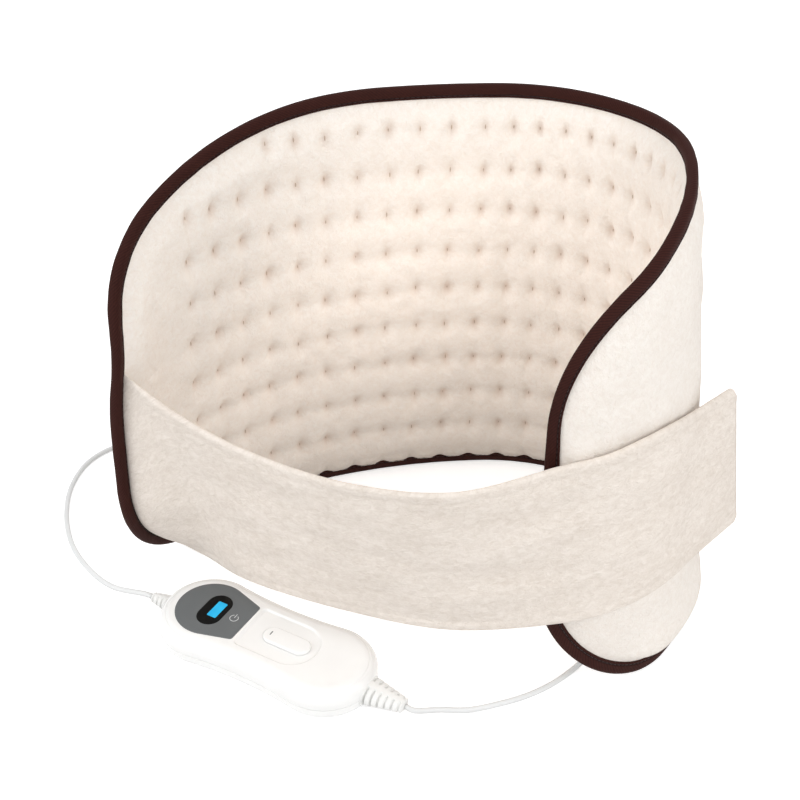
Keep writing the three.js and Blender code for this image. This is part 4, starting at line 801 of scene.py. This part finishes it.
# Controller case: two moulded halves of glossy white plastic, waisted in plan and rounded above and below,
# that meet at a parting line. Four screws from below hold them. The face has a pocket for the panel and a
# shallow bay for the knob.
CONTROL_AT = np.array([-0.0989, -0.0735, 0.0])
CONTROL_TURN = math.radians(-30.1)
BODY_LENGTH, BODY_HEIGHT = 0.147, 0.020
END_RADIUS, WAIST_HALF = 0.0315, 0.0285
WALL = 0.0024
PARTING, PARTING_GAP = 0.008, 0.0003
TOP_ROUND, FOOT_ROUND, LIP_ROUND, INSIDE_ROUND = 0.009, 0.005, 0.0003, 0.0005
RIM_INSET, RIM_SINK, RIM_HALF = 0.0048, 0.0003, 0.0004
END_CENTRE = BODY_LENGTH / 2 - END_RADIUS
SIDE_RADIUS = (END_CENTRE ** 2 + WAIST_HALF ** 2 - END_RADIUS ** 2) / (2 * (END_RADIUS - WAIST_HALF))
SIDE_CENTRE = SIDE_RADIUS + WAIST_HALF
END_JOIN = math.atan2(SIDE_CENTRE, -END_CENTRE)
PANEL_LEFT, PANEL_RIGHT = -0.063, -0.0145
PANEL_RADIUS, PANEL_END_HALF, PANEL_DEPTH = 0.0225, 0.0162, 0.001
BAY_LEFT, BAY_RIGHT = -0.0125, 0.036
BAY_HALF, BAY_CORNER, BAY_DEPTH = 0.017, 0.003, 0.0013
BAY_WALL, POCKET_WALL, POCKET_INSET = (0.0007, -0.0009), (0.0, -0.002), 0.003
SCREW_AT, SCREW_SINK, SCREW_WALL = (0.0565, 0.016), 0.0033, (0.0035, 0.0029)


def control_point(u, v, w):
    """Point of the controller: u along it from its middle, v across it and w up, turned as it lies."""
    cos, sin = math.cos(CONTROL_TURN), math.sin(CONTROL_TURN)
    return CONTROL_AT + stacked(u * cos - v * sin, u * sin + v * cos, w)


def body_outline(inset):
    """The waisted outline drawn in by each inset: two round ends joined by hollow sides, all arcs."""
    inset = np.asarray(inset, float)[:, None]
    half = math.atan2(END_CENTRE, SIDE_CENTRE)
    end = np.linspace(-END_JOIN, END_JOIN, 110)[None]
    side = (-math.pi / 2 + np.linspace(half, -half, 160)[1:-1])[None]
    end_u, end_v = END_CENTRE + (END_RADIUS - inset) * np.cos(end), (END_RADIUS - inset) * np.sin(end)
    side_u, side_v = (SIDE_RADIUS + inset) * np.cos(side), SIDE_CENTRE + (SIDE_RADIUS + inset) * np.sin(side)
    return (np.concatenate([end_u, side_u, -end_u, -side_u], axis=1),
            np.concatenate([end_v, side_v, -end_v, -side_v], axis=1))


def quarter(radius, steps):
    """A quarter round: how far it is drawn in and how far it has risen, from a wall to a level face."""
    angle = np.linspace(0, math.pi / 2, steps)
    return radius * (1 - np.cos(angle)), radius * np.sin(angle)


def toward_spine(inset, steps):
    """Rings that fill the outline: each point moves to its own place on the line between both ends."""
    u, v = body_outline([inset])
    share = np.linspace(0, 1, steps)[1:, None]
    reach = END_CENTRE + END_RADIUS * math.cos(END_JOIN)
    spine = np.clip(u * END_CENTRE / reach, -END_CENTRE, END_CENTRE)
    return u + (spine - u) * share, v * (1 - share)


def case_half(side, low, high, rounding, face_steps, face):
    """One half of the case as rings: up the inside, round the lip and over the outside to the spine, where
    the points that lie on each other are made one. face gives how far the outer face is sunk at each place,
    and a fine line is pressed into the rounding."""
    rise = 1 if high > low else -1
    drawn, risen = quarter(rounding, 44)
    lip_in, lip_up = quarter(LIP_ROUND, 4)
    inside_drawn, inside_risen = quarter(max(rounding - WALL, INSIDE_ROUND), 8)
    inside_high = high - rise * WALL
    rim = RIM_SINK * hump(drawn, RIM_INSET, RIM_HALF)
    insets = np.concatenate([
        WALL + inside_drawn[::-1], [WALL, LIP_ROUND], lip_in[::-1], drawn + 0.5 * rim])
    heights = np.concatenate([
        inside_high - rise * (inside_drawn.max() - inside_risen[::-1]), [low, low],
        low + rise * (LIP_ROUND - lip_up[::-1]), high - rise * (rounding - risen + rim)])
    wall_u, wall_v = body_outline(insets)
    core_u, core_v = toward_spine(WALL + inside_drawn.max(), 5)
    face_u, face_v = toward_spine(rounding, face_steps)
    u = np.concatenate([core_u[::-1], wall_u, face_u])
    v = np.concatenate([core_v[::-1], wall_v, face_v])
    w = np.concatenate([np.full(core_u.shape, inside_high), np.broadcast_to(heights[:, None], wall_u.shape),
                        high - rise * face(face_u, face_v)])
    made = piece(f"{side}_case", control_point(u, v, w), white_gloss, "belt",
                 [f"controller_{side}_shell"], grid_faces(*u.shape).tolist())
    shape = bmesh.new()
    shape.from_mesh(made.data)
    bmesh.ops.remove_doubles(shape, verts=shape.verts, dist=1e-6)
    shape.to_mesh(made.data)
    shape.free()


def upper_face(u, v):
    """Sink of the upper face: the bay, a box with small corners at the panel's side and a half round at the
    other, with eased walls, and a hollow under the panel that the panel hides."""
    box_u = np.maximum(BAY_LEFT + BAY_CORNER - u, 0)
    box_v = np.maximum(np.abs(v) - (BAY_HALF - BAY_CORNER), 0)
    square = np.hypot(box_u, box_v) - BAY_CORNER
    rounded = np.hypot(u - (BAY_RIGHT - BAY_HALF), v) - BAY_HALF
    outside = np.where(u > BAY_RIGHT - BAY_HALF, rounded, square)
    middle = np.hypot(u - (PANEL_LEFT + PANEL_RADIUS), v) - (PANEL_RADIUS - POCKET_INSET)
    return BAY_DEPTH * ease(*BAY_WALL, outside) + 0.6 * PANEL_DEPTH * ease(*POCKET_WALL, middle)


def lower_face(u, v):
    """Sink of the foot: a round pocket for each screw head."""
    away = np.hypot(np.abs(u) - SCREW_AT[0], np.abs(v) - SCREW_AT[1])
    return SCREW_SINK * ease(*SCREW_WALL, away)


white_gloss = moulded("white gloss", "f8f8f7", 0.22, coat=0.3, bump=0.00002, scale=300)
case_half("upper", PARTING + PARTING_GAP, BODY_HEIGHT, TOP_ROUND, 60, upper_face)
case_half("lower", PARTING, 0.0, FOOT_ROUND, 40, lower_face)
finish_nodes(steel, *(f"case_screw_{i}" for i in (1, 2, 3, 4)))

# Controller face: a satin grey panel seated in its pocket, round at the window and drawn in to a straight
# end. It holds a dark clear window with a lit blue bar, and a plain power sign is printed beside the window.
FIT = 0.0003
PANEL_LOW = BODY_HEIGHT - PANEL_DEPTH + FIT
PANEL_TOP = PANEL_LOW + 0.0009
PANEL_EDGE, PANEL_CORNER = 0.0004, 0.002
WINDOW_AT, WINDOW_SIZE, WINDOW_EDGE = (-0.038, 0), (0.016, 0.027), 0.0003
WINDOW_LOW, WINDOW_TOP = PANEL_TOP - FIT - 0.001, PANEL_TOP + 0.0002
LIGHT_AT, LIGHT_SIZE = (-0.0366, 0.0008), (0.0064, 0.0136)
LIGHT_CORNER, LIGHT_EDGE = 0.0007, 0.0001
LIGHT_LOW, LIGHT_TOP = PANEL_TOP - FIT, PANEL_TOP + 0.0003
SIGN_AT = (-0.0235, 0.0)
SIGN_RADIUS, SIGN_LINE, SIGN_HEIGHT = 0.0026, 0.00045, 0.00006
SIGN_FROM, SIGN_TO = 120, 420
SIGN_BAR_AT, SIGN_BAR = 0.75 * SIGN_RADIUS, 1.3 * SIGN_RADIUS


def arc(centre, radius, first, last, steps):
    """Points of a circle's arc, angles in degrees."""
    angle = np.radians(np.linspace(first, last, steps))
    return np.array(centre) + radius * stacked(np.cos(angle), np.sin(angle))


def panel_outline():
    """The panel's edge: round at the window, then straight tangent sides to an end with small corners."""
    centre = PANEL_LEFT + PANEL_RADIUS
    corner = np.array([PANEL_RIGHT - PANEL_CORNER, PANEL_END_HALF - PANEL_CORNER])
    reach = math.hypot(corner[0] - centre, corner[1])
    side = math.atan2(corner[1], corner[0] - centre) + math.acos((PANEL_RADIUS - PANEL_CORNER) / reach)
    turn = math.degrees(side)
    return np.vstack([arc((centre, 0), PANEL_RADIUS, turn, 360 - turn, 90),
                      arc(corner * (1, -1), PANEL_CORNER, -turn, 0, 10),
                      arc(corner, PANEL_CORNER, 0, turn, 10)])


def plate(outline_points, low, high, edge):
    """Flat plate: the outline carried up from low to high, its top edge rounded towards its middle, and
    filled by rings that shrink to the middle."""
    middle = (outline_points.max(axis=0) + outline_points.min(axis=0)) / 2
    reach = np.linalg.norm(outline_points - middle, axis=1, keepdims=True)
    drawn, risen = quarter(edge, 5)
    inset = np.concatenate([[0.0], drawn])
    rings = middle + (outline_points - middle)[None] * (1 - inset[:, None, None] / reach[None])
    shares = np.linspace(1, 0.02, 10)[1:]
    fill = middle + (rings[-1] - middle)[None] * shares[:, None, None]
    u, v = np.moveaxis(np.concatenate([rings, fill]), -1, 0)
    w = np.concatenate([[low], high - edge + risen, np.full(len(shares), high)])[:, None]
    return control_point(u, v, w)


def pill(at, size, steps=40):
    """Outline of a bar with half-round ends along its longer side."""
    radius = min(size) / 2
    run = max(size) / 2 - radius
    along, first = (np.array([1, 0]), -90) if size[0] > size[1] else (np.array([0, 1]), 0)
    return np.vstack([arc(np.array(at) + sign * run * along, radius, first + turn, first + turn + 180, steps)
                      for sign, turn in ((1, 0), (-1, 180))])


panel_grey = moulded("panel grey", "6a6e70", 0.4, bump=0.00003, scale=900, specular=0.3)
panel_plate = plate(panel_outline(), PANEL_LOW, PANEL_TOP, PANEL_EDGE)
piece("face_panel", panel_plate, panel_grey, "belt", ["display_panel"])
window_dark = moulded("window dark", "08090a", 0.3, bump=0.00001, specular=0.15)
window_plate = plate(pill(WINDOW_AT, WINDOW_SIZE), WINDOW_LOW, WINDOW_TOP, WINDOW_EDGE)
piece("dark_window", window_plate, window_dark, "belt", ["display_window"])

lit_bar, lit_tree, lit_shader = blank_material("lit bar")
lit_cloud = noise(lit_tree, add(lit_tree, "TexCoord")["Object"], 160, 1)
lit_colour = between(lit_tree, lit_cloud, "1f9ccf", "30b2de")
wire_up(lit_tree, lit_shader, {"Base Color": lit_colour, "Emission Color": lit_colour,
                               "Emission Strength": 0.35, "Roughness": 0.4, "Specular IOR Level": 0.2})
light_half = np.array(LIGHT_SIZE) / 2 - LIGHT_CORNER
light_outline = np.vstack([
    arc(np.array(LIGHT_AT) + light_half * corner, LIGHT_CORNER, first, first + 90, 6)
    for corner, first in (((1, 1), 0), ((-1, 1), 90), ((-1, -1), 180), ((1, -1), 270))])
light_plate = plate(light_outline, LIGHT_LOW, LIGHT_TOP, LIGHT_EDGE)
piece("level_bar", light_plate, lit_bar, "belt", ["level_light"])

printed_white = moulded("printed white", "d4d6d7", 0.5)
sign_rings = []
for out, height in ((-0.5, 0.0), (-0.5, SIGN_HEIGHT), (0.5, SIGN_HEIGHT), (0.5, 0.0)):
    ring = arc(SIGN_AT, SIGN_RADIUS + out * SIGN_LINE, SIGN_FROM, SIGN_TO, 50)
    sign_rings.append(control_point(*ring.T, PANEL_TOP + height))
piece("power_sign_ring", np.stack(sign_rings, axis=1), printed_white, "belt")
sign_bar = pill((SIGN_AT[0], SIGN_AT[1] + SIGN_BAR_AT), (SIGN_LINE, SIGN_BAR), 12)
sign_plate = plate(sign_bar, PANEL_TOP, PANEL_TOP + SIGN_HEIGHT, SIGN_HEIGHT / 3)
piece("power_sign_bar", sign_plate, printed_white, "belt")

# Slide knob: an oblong cap of the same white plastic in the bay, softly domed, with a short dark mark at its
# inner end. It slides along the controller and has a stem that reaches the switch.
KNOB_AT, KNOB_SIZE = (0.015, 0), (0.032, 0.013)
KNOB_HEIGHT, KNOB_ROUND, KNOB_DOME = 0.0023, 0.0011, 0.0004
KNOB_LOW = BODY_HEIGHT - BAY_DEPTH + FIT
KNOB_RUN = (KNOB_SIZE[0] - KNOB_SIZE[1]) / 2
TICK_AT, TICK_SIZE = (KNOB_AT[0] - KNOB_SIZE[0] / 2 + 0.005, 0), (0.0007, 0.0034)
TICK_SUNK, TICK_RAISED, TICK_EDGE = 0.0004, 0.00002, 0.00005
knob_outline = pill(KNOB_AT, KNOB_SIZE, 48)
knob_spine = np.clip(knob_outline, [KNOB_AT[0] - KNOB_RUN, 0], [KNOB_AT[0] + KNOB_RUN, 0])
knob_drawn, knob_risen = quarter(KNOB_ROUND, 8)
knob_walls = 1 - np.concatenate([[0.0], knob_drawn]) / (KNOB_SIZE[1] / 2)
knob_fill = knob_walls[-1] * np.linspace(1, 0.01, 16)[1:]
knob_shares = np.concatenate([knob_walls, knob_fill])[:, None]
knob_flat = knob_spine + (knob_outline - knob_spine) * knob_shares[..., None]
knob_side = KNOB_HEIGHT - KNOB_ROUND - KNOB_DOME
knob_top = np.full(len(knob_fill), knob_side + KNOB_ROUND)
knob_up = np.concatenate([[0.0], knob_side + knob_risen, knob_top])[:, None]
knob_dome = KNOB_DOME * (1 - knob_shares ** 2)
knob_points = control_point(knob_flat[..., 0], knob_flat[..., 1], KNOB_LOW + knob_up + knob_dome)
piece("slide_cap", knob_points, white_gloss, "knob", ["slide_knob"])
tick_top = KNOB_LOW + KNOB_HEIGHT
tick_plate = plate(pill(TICK_AT, TICK_SIZE, 8), tick_top - TICK_SUNK, tick_top + TICK_RAISED, TICK_EDGE)
piece("slide_mark", tick_plate, moulded("dark mark", "55585a", 0.5), "knob")

# Inside the case: a green laminate circuit board on two rails of the lower half, with the parts that are
# soldered to it. All of it is closed in, so the solids only get their finish.
finish_nodes(moulded("board laminate", "2c6a45", 0.5), "circuit_board")
finish_nodes(moulded("dark plastic", "26282a", 0.55), "display_module", "slide_switch", "film_capacitor",
             "triac", "terminal_block_mains", "terminal_block_pad")
finish_nodes(steel, "fuse")

# Strain reliefs: tapering sleeves of white rubber, moulded on both cords and held in the wall of the case.
# Slots ring them, so that they bend.
CORD_RADIUS = 0.00175
CORD_HEIGHT = PARTING + PARTING_GAP / 2
BODY_END = BODY_LENGTH / 2
MAINS_RELIEF = {"length": 0.013, "root": 0.0064, "tip": 0.003, "wide": 1.0, "ribs": 4}
PAD_RELIEF = {"length": 0.023, "root": 0.0072, "tip": 0.0034, "wide": 1.55, "ribs": 6}
RELIEF_ROOT = 0.0035
SLOT_OPENS, SLOT_CLOSES, SLOT_DEPTH, SLOT_FIRST = (0.6, 0.67), (1.0, 0.93), 0.3, 0.15
BRIDGE = (0.92, 0.97)


def relief(name, node, side, length, root, tip, wide, ribs):
    """Oval sleeve about the cord: its size tapers from root to tip, and between the ribs both sides are cut
    by slots that leave a bridge along the top and one along the bottom."""
    along = np.linspace(0, 1, 30 * ribs)[:, None]
    angle = circle(96)[None]
    phase = along * (ribs + 0.5) - SLOT_FIRST
    slot = ease(*SLOT_OPENS, phase % 1) * ease(*SLOT_CLOSES, phase % 1) * (phase > 0)
    cut = SLOT_DEPTH * slot * (1 - ease(*BRIDGE, np.abs(np.cos(angle))))
    end = np.sqrt(np.clip(1 - (1 - np.clip((1 - along) / 0.04, 0, 1)) ** 2, 0.3, 1))
    radius = (root + (tip - root) * along) * (1 - cut) * end
    u = side * (BODY_END - RELIEF_ROOT + (length + FIT + RELIEF_ROOT) * along)
    points = control_point(u, wide * radius * np.sin(angle), CORD_HEIGHT + radius * np.cos(angle))
    piece(name, points, white_rubber, "belt", [node])


relief("mains_relief", "strain_relief_mains", -1, **MAINS_RELIEF)
relief("pad_relief", "strain_relief_pad", 1, **PAD_RELIEF)

# Cords: white round flex. One goes from the controller under the strap to the gland in the pad; the other
# goes round the left end of the pad to a tied coil behind it, and ends in the mains plug.
FLOOR_CORD = CORD_RADIUS + 0.0001
PAD_TIP = BODY_END + FIT + PAD_RELIEF["length"] + FIT
MAINS_TIP = -BODY_END - FIT - MAINS_RELIEF["length"] - FIT
GLAND_MOUTH = GLAND_AT[0] + GLAND_LENGTH / 2 + 3 * FIT
PAD_ROUTE = [
    control_point(PAD_TIP, 0, CORD_HEIGHT), control_point(PAD_TIP + 0.005, 0, CORD_HEIGHT - 0.0006),
    (0.0045, -0.1215, 0.0046), (0.0215, -0.1195, 0.0023), (0.0395, -0.1145, FLOOR_CORD),
    (0.0545, -0.109, FLOOR_CORD), (0.0665, -0.1025, FLOOR_CORD), (0.0775, -0.0945, FLOOR_CORD),
    (0.0875, -0.086, 0.003), pad_point(GLAND_MOUTH + 0.008, GLAND_AT[1] - 0.001, GLAND_CENTRE),
    pad_point(GLAND_MOUTH, GLAND_AT[1], GLAND_CENTRE),
]
TIE_THICKNESS = 0.001
COIL_AT = (-0.048, 0.1765)
COIL_INNER, COIL_TURNS = 0.0185, 4
COIL_PITCH = 2 * CORD_RADIUS + 0.0012
COIL_STEPS, COIL_STUB = 48, 0.007
COIL_BASE = TIE_THICKNESS + FIT + CORD_RADIUS
COIL_OUTER = COIL_INNER + COIL_PITCH * COIL_TURNS
COIL_START = np.array([COIL_AT[0] - COIL_STUB, COIL_AT[1] - COIL_OUTER, COIL_BASE])
MAINS_ROUTE = [
    control_point(MAINS_TIP, 0, CORD_HEIGHT), control_point(MAINS_TIP - 0.005, 0, CORD_HEIGHT - 0.0003),
    (-0.2015, -0.0185, 0.006), (-0.2195, -0.0005, 0.004), (-0.236, 0.026, 0.0024),
    (-0.246, 0.058, FLOOR_CORD), (-0.248, 0.0905, FLOOR_CORD), (-0.2405, 0.118, FLOOR_CORD),
    (-0.2245, 0.135, FLOOR_CORD), (-0.2015, 0.144, FLOOR_CORD), (-0.171, 0.146, FLOOR_CORD),
    (-0.136, 0.143, FLOOR_CORD), (-0.101, 0.140, FLOOR_CORD),
    COIL_START - (0.008, 0, 0.0001), COIL_START - (FIT, 0, 0),
]


def coil_line():
    """The coil's line: a spiral in along the lower layer, up a layer in the half turn at the inside, and
    out along the upper layer, with a short straight run at each end."""
    turn = np.arange(round((2 * COIL_TURNS + 0.5) * COIL_STEPS) + 1) / COIL_STEPS
    from_inside = np.maximum(np.maximum(COIL_TURNS - turn, turn - COIL_TURNS - 0.5), 0)
    t = np.clip((turn - COIL_TURNS) / 0.5, 0, 1)
    climb = t ** 3 * (t * (6 * t - 15) + 10)
    radius = COIL_INNER + COIL_PITCH * from_inside
    angle = 2 * math.pi * (turn - 0.25)
    spiral = stacked(COIL_AT[0] + radius * np.cos(angle), COIL_AT[1] + radius * np.sin(angle),
                     COIL_BASE + COIL_PITCH * climb)
    return np.vstack([COIL_START, spiral, spiral[-1] - (COIL_STUB, 0, 0)])


def flex(name, stands_for, line, step):
    """Round flex along a line, with its points first set one step apart: at each a circle square to the
    line. The piece and the line."""
    run = distance_along(line)
    at = np.linspace(0, run[-1], round(run[-1] / step) + 1)
    line = np.stack([np.interp(at, run, line[:, k]) for k in range(3)], axis=1)
    ahead = unit(np.gradient(line, axis=0))
    side = unit(np.cross(ahead, UPWARD))
    angle = circle(20)[None, :, None]
    round_line = np.cos(angle) * side[:, None] + np.sin(angle) * np.cross(side, ahead)[:, None]
    points = line[:, None] + CORD_RADIUS * round_line
    return piece(name, points, white_flex, "belt", stands_for), line


white_flex = moulded("white flex", "e4e5e5", 0.38, bump=0.00002)
pad_lead, pad_line = flex("pad_flex", ["pad_lead"], through(PAD_ROUTE, 24), 0.002)
PLUG_AT, PLUG_HEIGHT = -0.090, 0.007
coil = coil_line()
COIL_END = coil[-1]
TAIL_ROUTE = [
    COIL_END - (FIT, 0, 0), COIL_END - (0.008, 0, 0.0005),
    *((PLUG_AT + before, COIL_END[1], PLUG_HEIGHT + up)
      for before, up in ((0.010, 0.0004), (FIT, 0), (-0.012, 0))),
]
mains_whole = np.vstack([through(MAINS_ROUTE, 24), coil, through(TAIL_ROUTE, 12)])
mains_flex, mains_line = flex("mains_flex", ["mains_lead", "mains_coil", "mains_tail"], mains_whole, 0.0022)

# Coil tie: a soft dark band wrapped once round both layers of the coil. Its outer edges are a little
# rounded, and it lies on the floor under the cord.
TIE_WIDTH, TIE_SQUARE = 0.008, 0.35
TIE_INNER = COIL_INNER - CORD_RADIUS - 0.001
TIE_OUTER = COIL_OUTER + CORD_RADIUS + 0.001
TIE_TOP = COIL_BASE + COIL_PITCH + CORD_RADIUS + FIT
TIE_SECTION = [(0, -0.5), (0, 0.5), (0.8, 0.5), (1, 0.42), (1, -0.42), (0.8, -0.5)]
tie_cos, tie_sin = squarish(circle(64), TIE_SQUARE)
tie_points = np.stack([stacked(
    COIL_AT[0] + (TIE_INNER + TIE_OUTER) / 2 + ((TIE_OUTER - TIE_INNER) / 2 + grow * TIE_THICKNESS) * tie_cos,
    COIL_AT[1] + across * TIE_WIDTH,
    (TIE_TOP + TIE_THICKNESS) / 2 + ((TIE_TOP - TIE_THICKNESS) / 2 + grow * TIE_THICKNESS) * tie_sin,
) for grow, across in TIE_SECTION], axis=1)
tie = piece("cord_tie", tie_points, moulded("tie band", "2b2c2e", 0.7, bump=0.0002, scale=1500), "belt",
            ["coil_tie"], grid_faces(64, 6, True).tolist())

# Mains plug: a flat white body moulded on the cord, which widens to its pin face, with a ribbed relief
# behind it and two nickel-plated pins set in it. Stations give a distance along the plug, a half width and
# a half height.
PLUG_STATIONS = [(0.0148, 0.0060, 0.0052), (0.017, 0.0080, 0.0060), (0.026, 0.0115, 0.0066),
                 (0.038, 0.0132, 0.0069), (0.048, 0.0134, 0.0069), (0.0495, 0.0124, 0.0063)]
PLUG_SQUARE = 0.6
PIN_STATIONS = [(0.0498, 0.0020), (0.066, 0.0020), (0.0682, 0.0017), (0.069, 0.0011)]
PIN_APART = 0.0093
SLEEVE_LENGTH, SLEEVE_TIP, SLEEVE_GROWS = 0.0145, 0.0029, 0.0018
SLEEVE_CUT, SLEEVE_PITCH, SLEEVE_BAND = 0.0006, 0.0026, (0.55, 0.7)


def plug_part(name, node, stations, material, power=1, aside=0):
    """Rings square to the plug's axis, one at each station, round or squared off by a power."""
    x, wide, tall = (np.asarray(stations)[:, k, None] for k in (0, 1, 2))
    cos, sin = squarish(circle(48), power)
    points = stacked(PLUG_AT - x, COIL_END[1] + aside + wide * cos, PLUG_HEIGHT + tall * sin)
    return piece(name, points, material, "belt", [node])


white_plug = moulded("plug white", "eeeeec", 0.4, bump=0.00004)
plug = plug_part("plug_moulding", "plug_body", through(PLUG_STATIONS, 10), white_plug,
                 PLUG_SQUARE)
sleeve_x = np.linspace(0, SLEEVE_LENGTH, 120)
sleeve_cut = SLEEVE_CUT * ease(*SLEEVE_BAND, (sleeve_x / SLEEVE_PITCH) % 1)
sleeve_radius = SLEEVE_TIP + SLEEVE_GROWS * sleeve_x / SLEEVE_LENGTH - sleeve_cut
sleeve = plug_part("plug_sleeve", "plug_relief", stacked(sleeve_x, sleeve_radius, sleeve_radius), white_plug)
nickel = moulded("nickel", "cfcbc0", 0.2, metallic=1.0)
pin_stations = [(x, radius, radius) for x, radius in PIN_STATIONS]
pins = [plug_part(f"pin_{side}", f"plug_pin_{side}", pin_stations, nickel, aside=aside)
        for side, aside in (("left", -PIN_APART), ("right", PIN_APART))]

# Floor and light: a white studio floor that runs out of view and keeps the shadow, under soft lamps. To the
# camera, and in reflections, the floor and the world are white.
FLOOR_HALF, FLOOR_TONE, FLOOR_GLOW = 4.0, 0.8, 0.58
WORLD_STRENGTH = 0.54
WHITE = (1, 1, 1, 1)
floor_mesh = bpy.data.meshes.new("floor")
floor_corners = [(x * FLOOR_HALF, y * FLOOR_HALF, 0) for x, y in ((-1, -1), (1, -1), (1, 1), (-1, 1))]
floor_mesh.from_pydata(floor_corners, [], [(0, 1, 2, 3)])
floor = bpy.data.objects.new("floor", floor_mesh)
scene.collection.objects.link(floor)


def seen_white(tree):
    """One where a ray comes from the camera, from glossy surfaces or through clear ones, zero elsewhere."""
    path = add(tree, "LightPath")
    seen = path["Is Camera Ray"]
    for kind in ("Is Glossy Ray", "Is Transmission Ray"):
        seen = add(tree, "Math", {0: seen, 1: path[kind]}, operation="MAXIMUM")[0]
    return seen


floor_white = bpy.data.materials.new("floor white")
floor_white.use_nodes = True
floor_tree = floor_white.node_tree
floor_tree.nodes.clear()
floor_base = add(floor_tree, "BsdfDiffuse", {"Color": (FLOOR_TONE, FLOOR_TONE, FLOOR_TONE, 1)})[0]
floor_none = add(floor_tree, "Emission", {"Strength": 0.0})[0]
floor_glow = add(floor_tree, "Emission", {"Color": WHITE, "Strength": FLOOR_GLOW})[0]
floor_lift = add(floor_tree, "MixShader", {0: seen_white(floor_tree), 1: floor_none, 2: floor_glow})[0]
floor_sum = add(floor_tree, "AddShader", {0: floor_base, 1: floor_lift})[0]
add(floor_tree, "OutputMaterial", {"Surface": floor_sum})
floor_mesh.materials.append(floor_white)

world = bpy.data.worlds.new("studio")
scene.world = world
world.use_nodes = True
world_tree = world.node_tree
world_tree.nodes.clear()
world_dim = add(world_tree, "Background", {"Color": WHITE, "Strength": WORLD_STRENGTH})[0]
world_white = add(world_tree, "Background", {"Color": WHITE, "Strength": 1.0})[0]
world_mix = add(world_tree, "MixShader", {0: seen_white(world_tree), 1: world_dim, 2: world_white})[0]
add(world_tree, "OutputWorld", {"Surface": world_mix})

LAMPS = [("key_lamp", (0.75, -0.98, 1.05), (0.05, 0.0, 0.12), 1.1, 8.9, "ffffff"),
         ("top_lamp", (-0.1, -0.1, 1.6), (0.0, 0.0, 0.1), 1.6, 2.3, "ffffff"),
         ("left_lamp", (-1.1, -0.42, 0.85), (0.0, 0.0, 0.12), 1.2, 7.4, "ffffff"),
         ("right_lamp", (0.9, -0.4, 0.3), (0.12, -0.02, 0.12), 0.5, 0.6, "ffffff"),
         ("back_lamp", (0.1, 1.2, 0.9), (0.0, 0.1, 0.15), 1.2, 3.4, "ffffff"),
         ("inside_fill", (0.0, -0.03, 0.18), (0.07, 0.11, 0.15), 0.14, 0.055, "fff6f0")]
for name, at, aim, size, power, colour in LAMPS:
    lamp_data = bpy.data.lights.new(name, "AREA")
    lamp_data.shape = "DISK"
    lamp_data.size = size
    lamp_data.energy = power
    lamp_data.color = linear(colour)[:3]
    lamp = bpy.data.objects.new(name, lamp_data)
    lamp.location = at
    lamp.visible_camera = False
    x, y, z = np.array(at) - np.array(aim)
    lamp.rotation_euler = (math.atan2(math.hypot(x, y), z), 0, math.atan2(x, -y))
    scene.collection.objects.link(lamp)
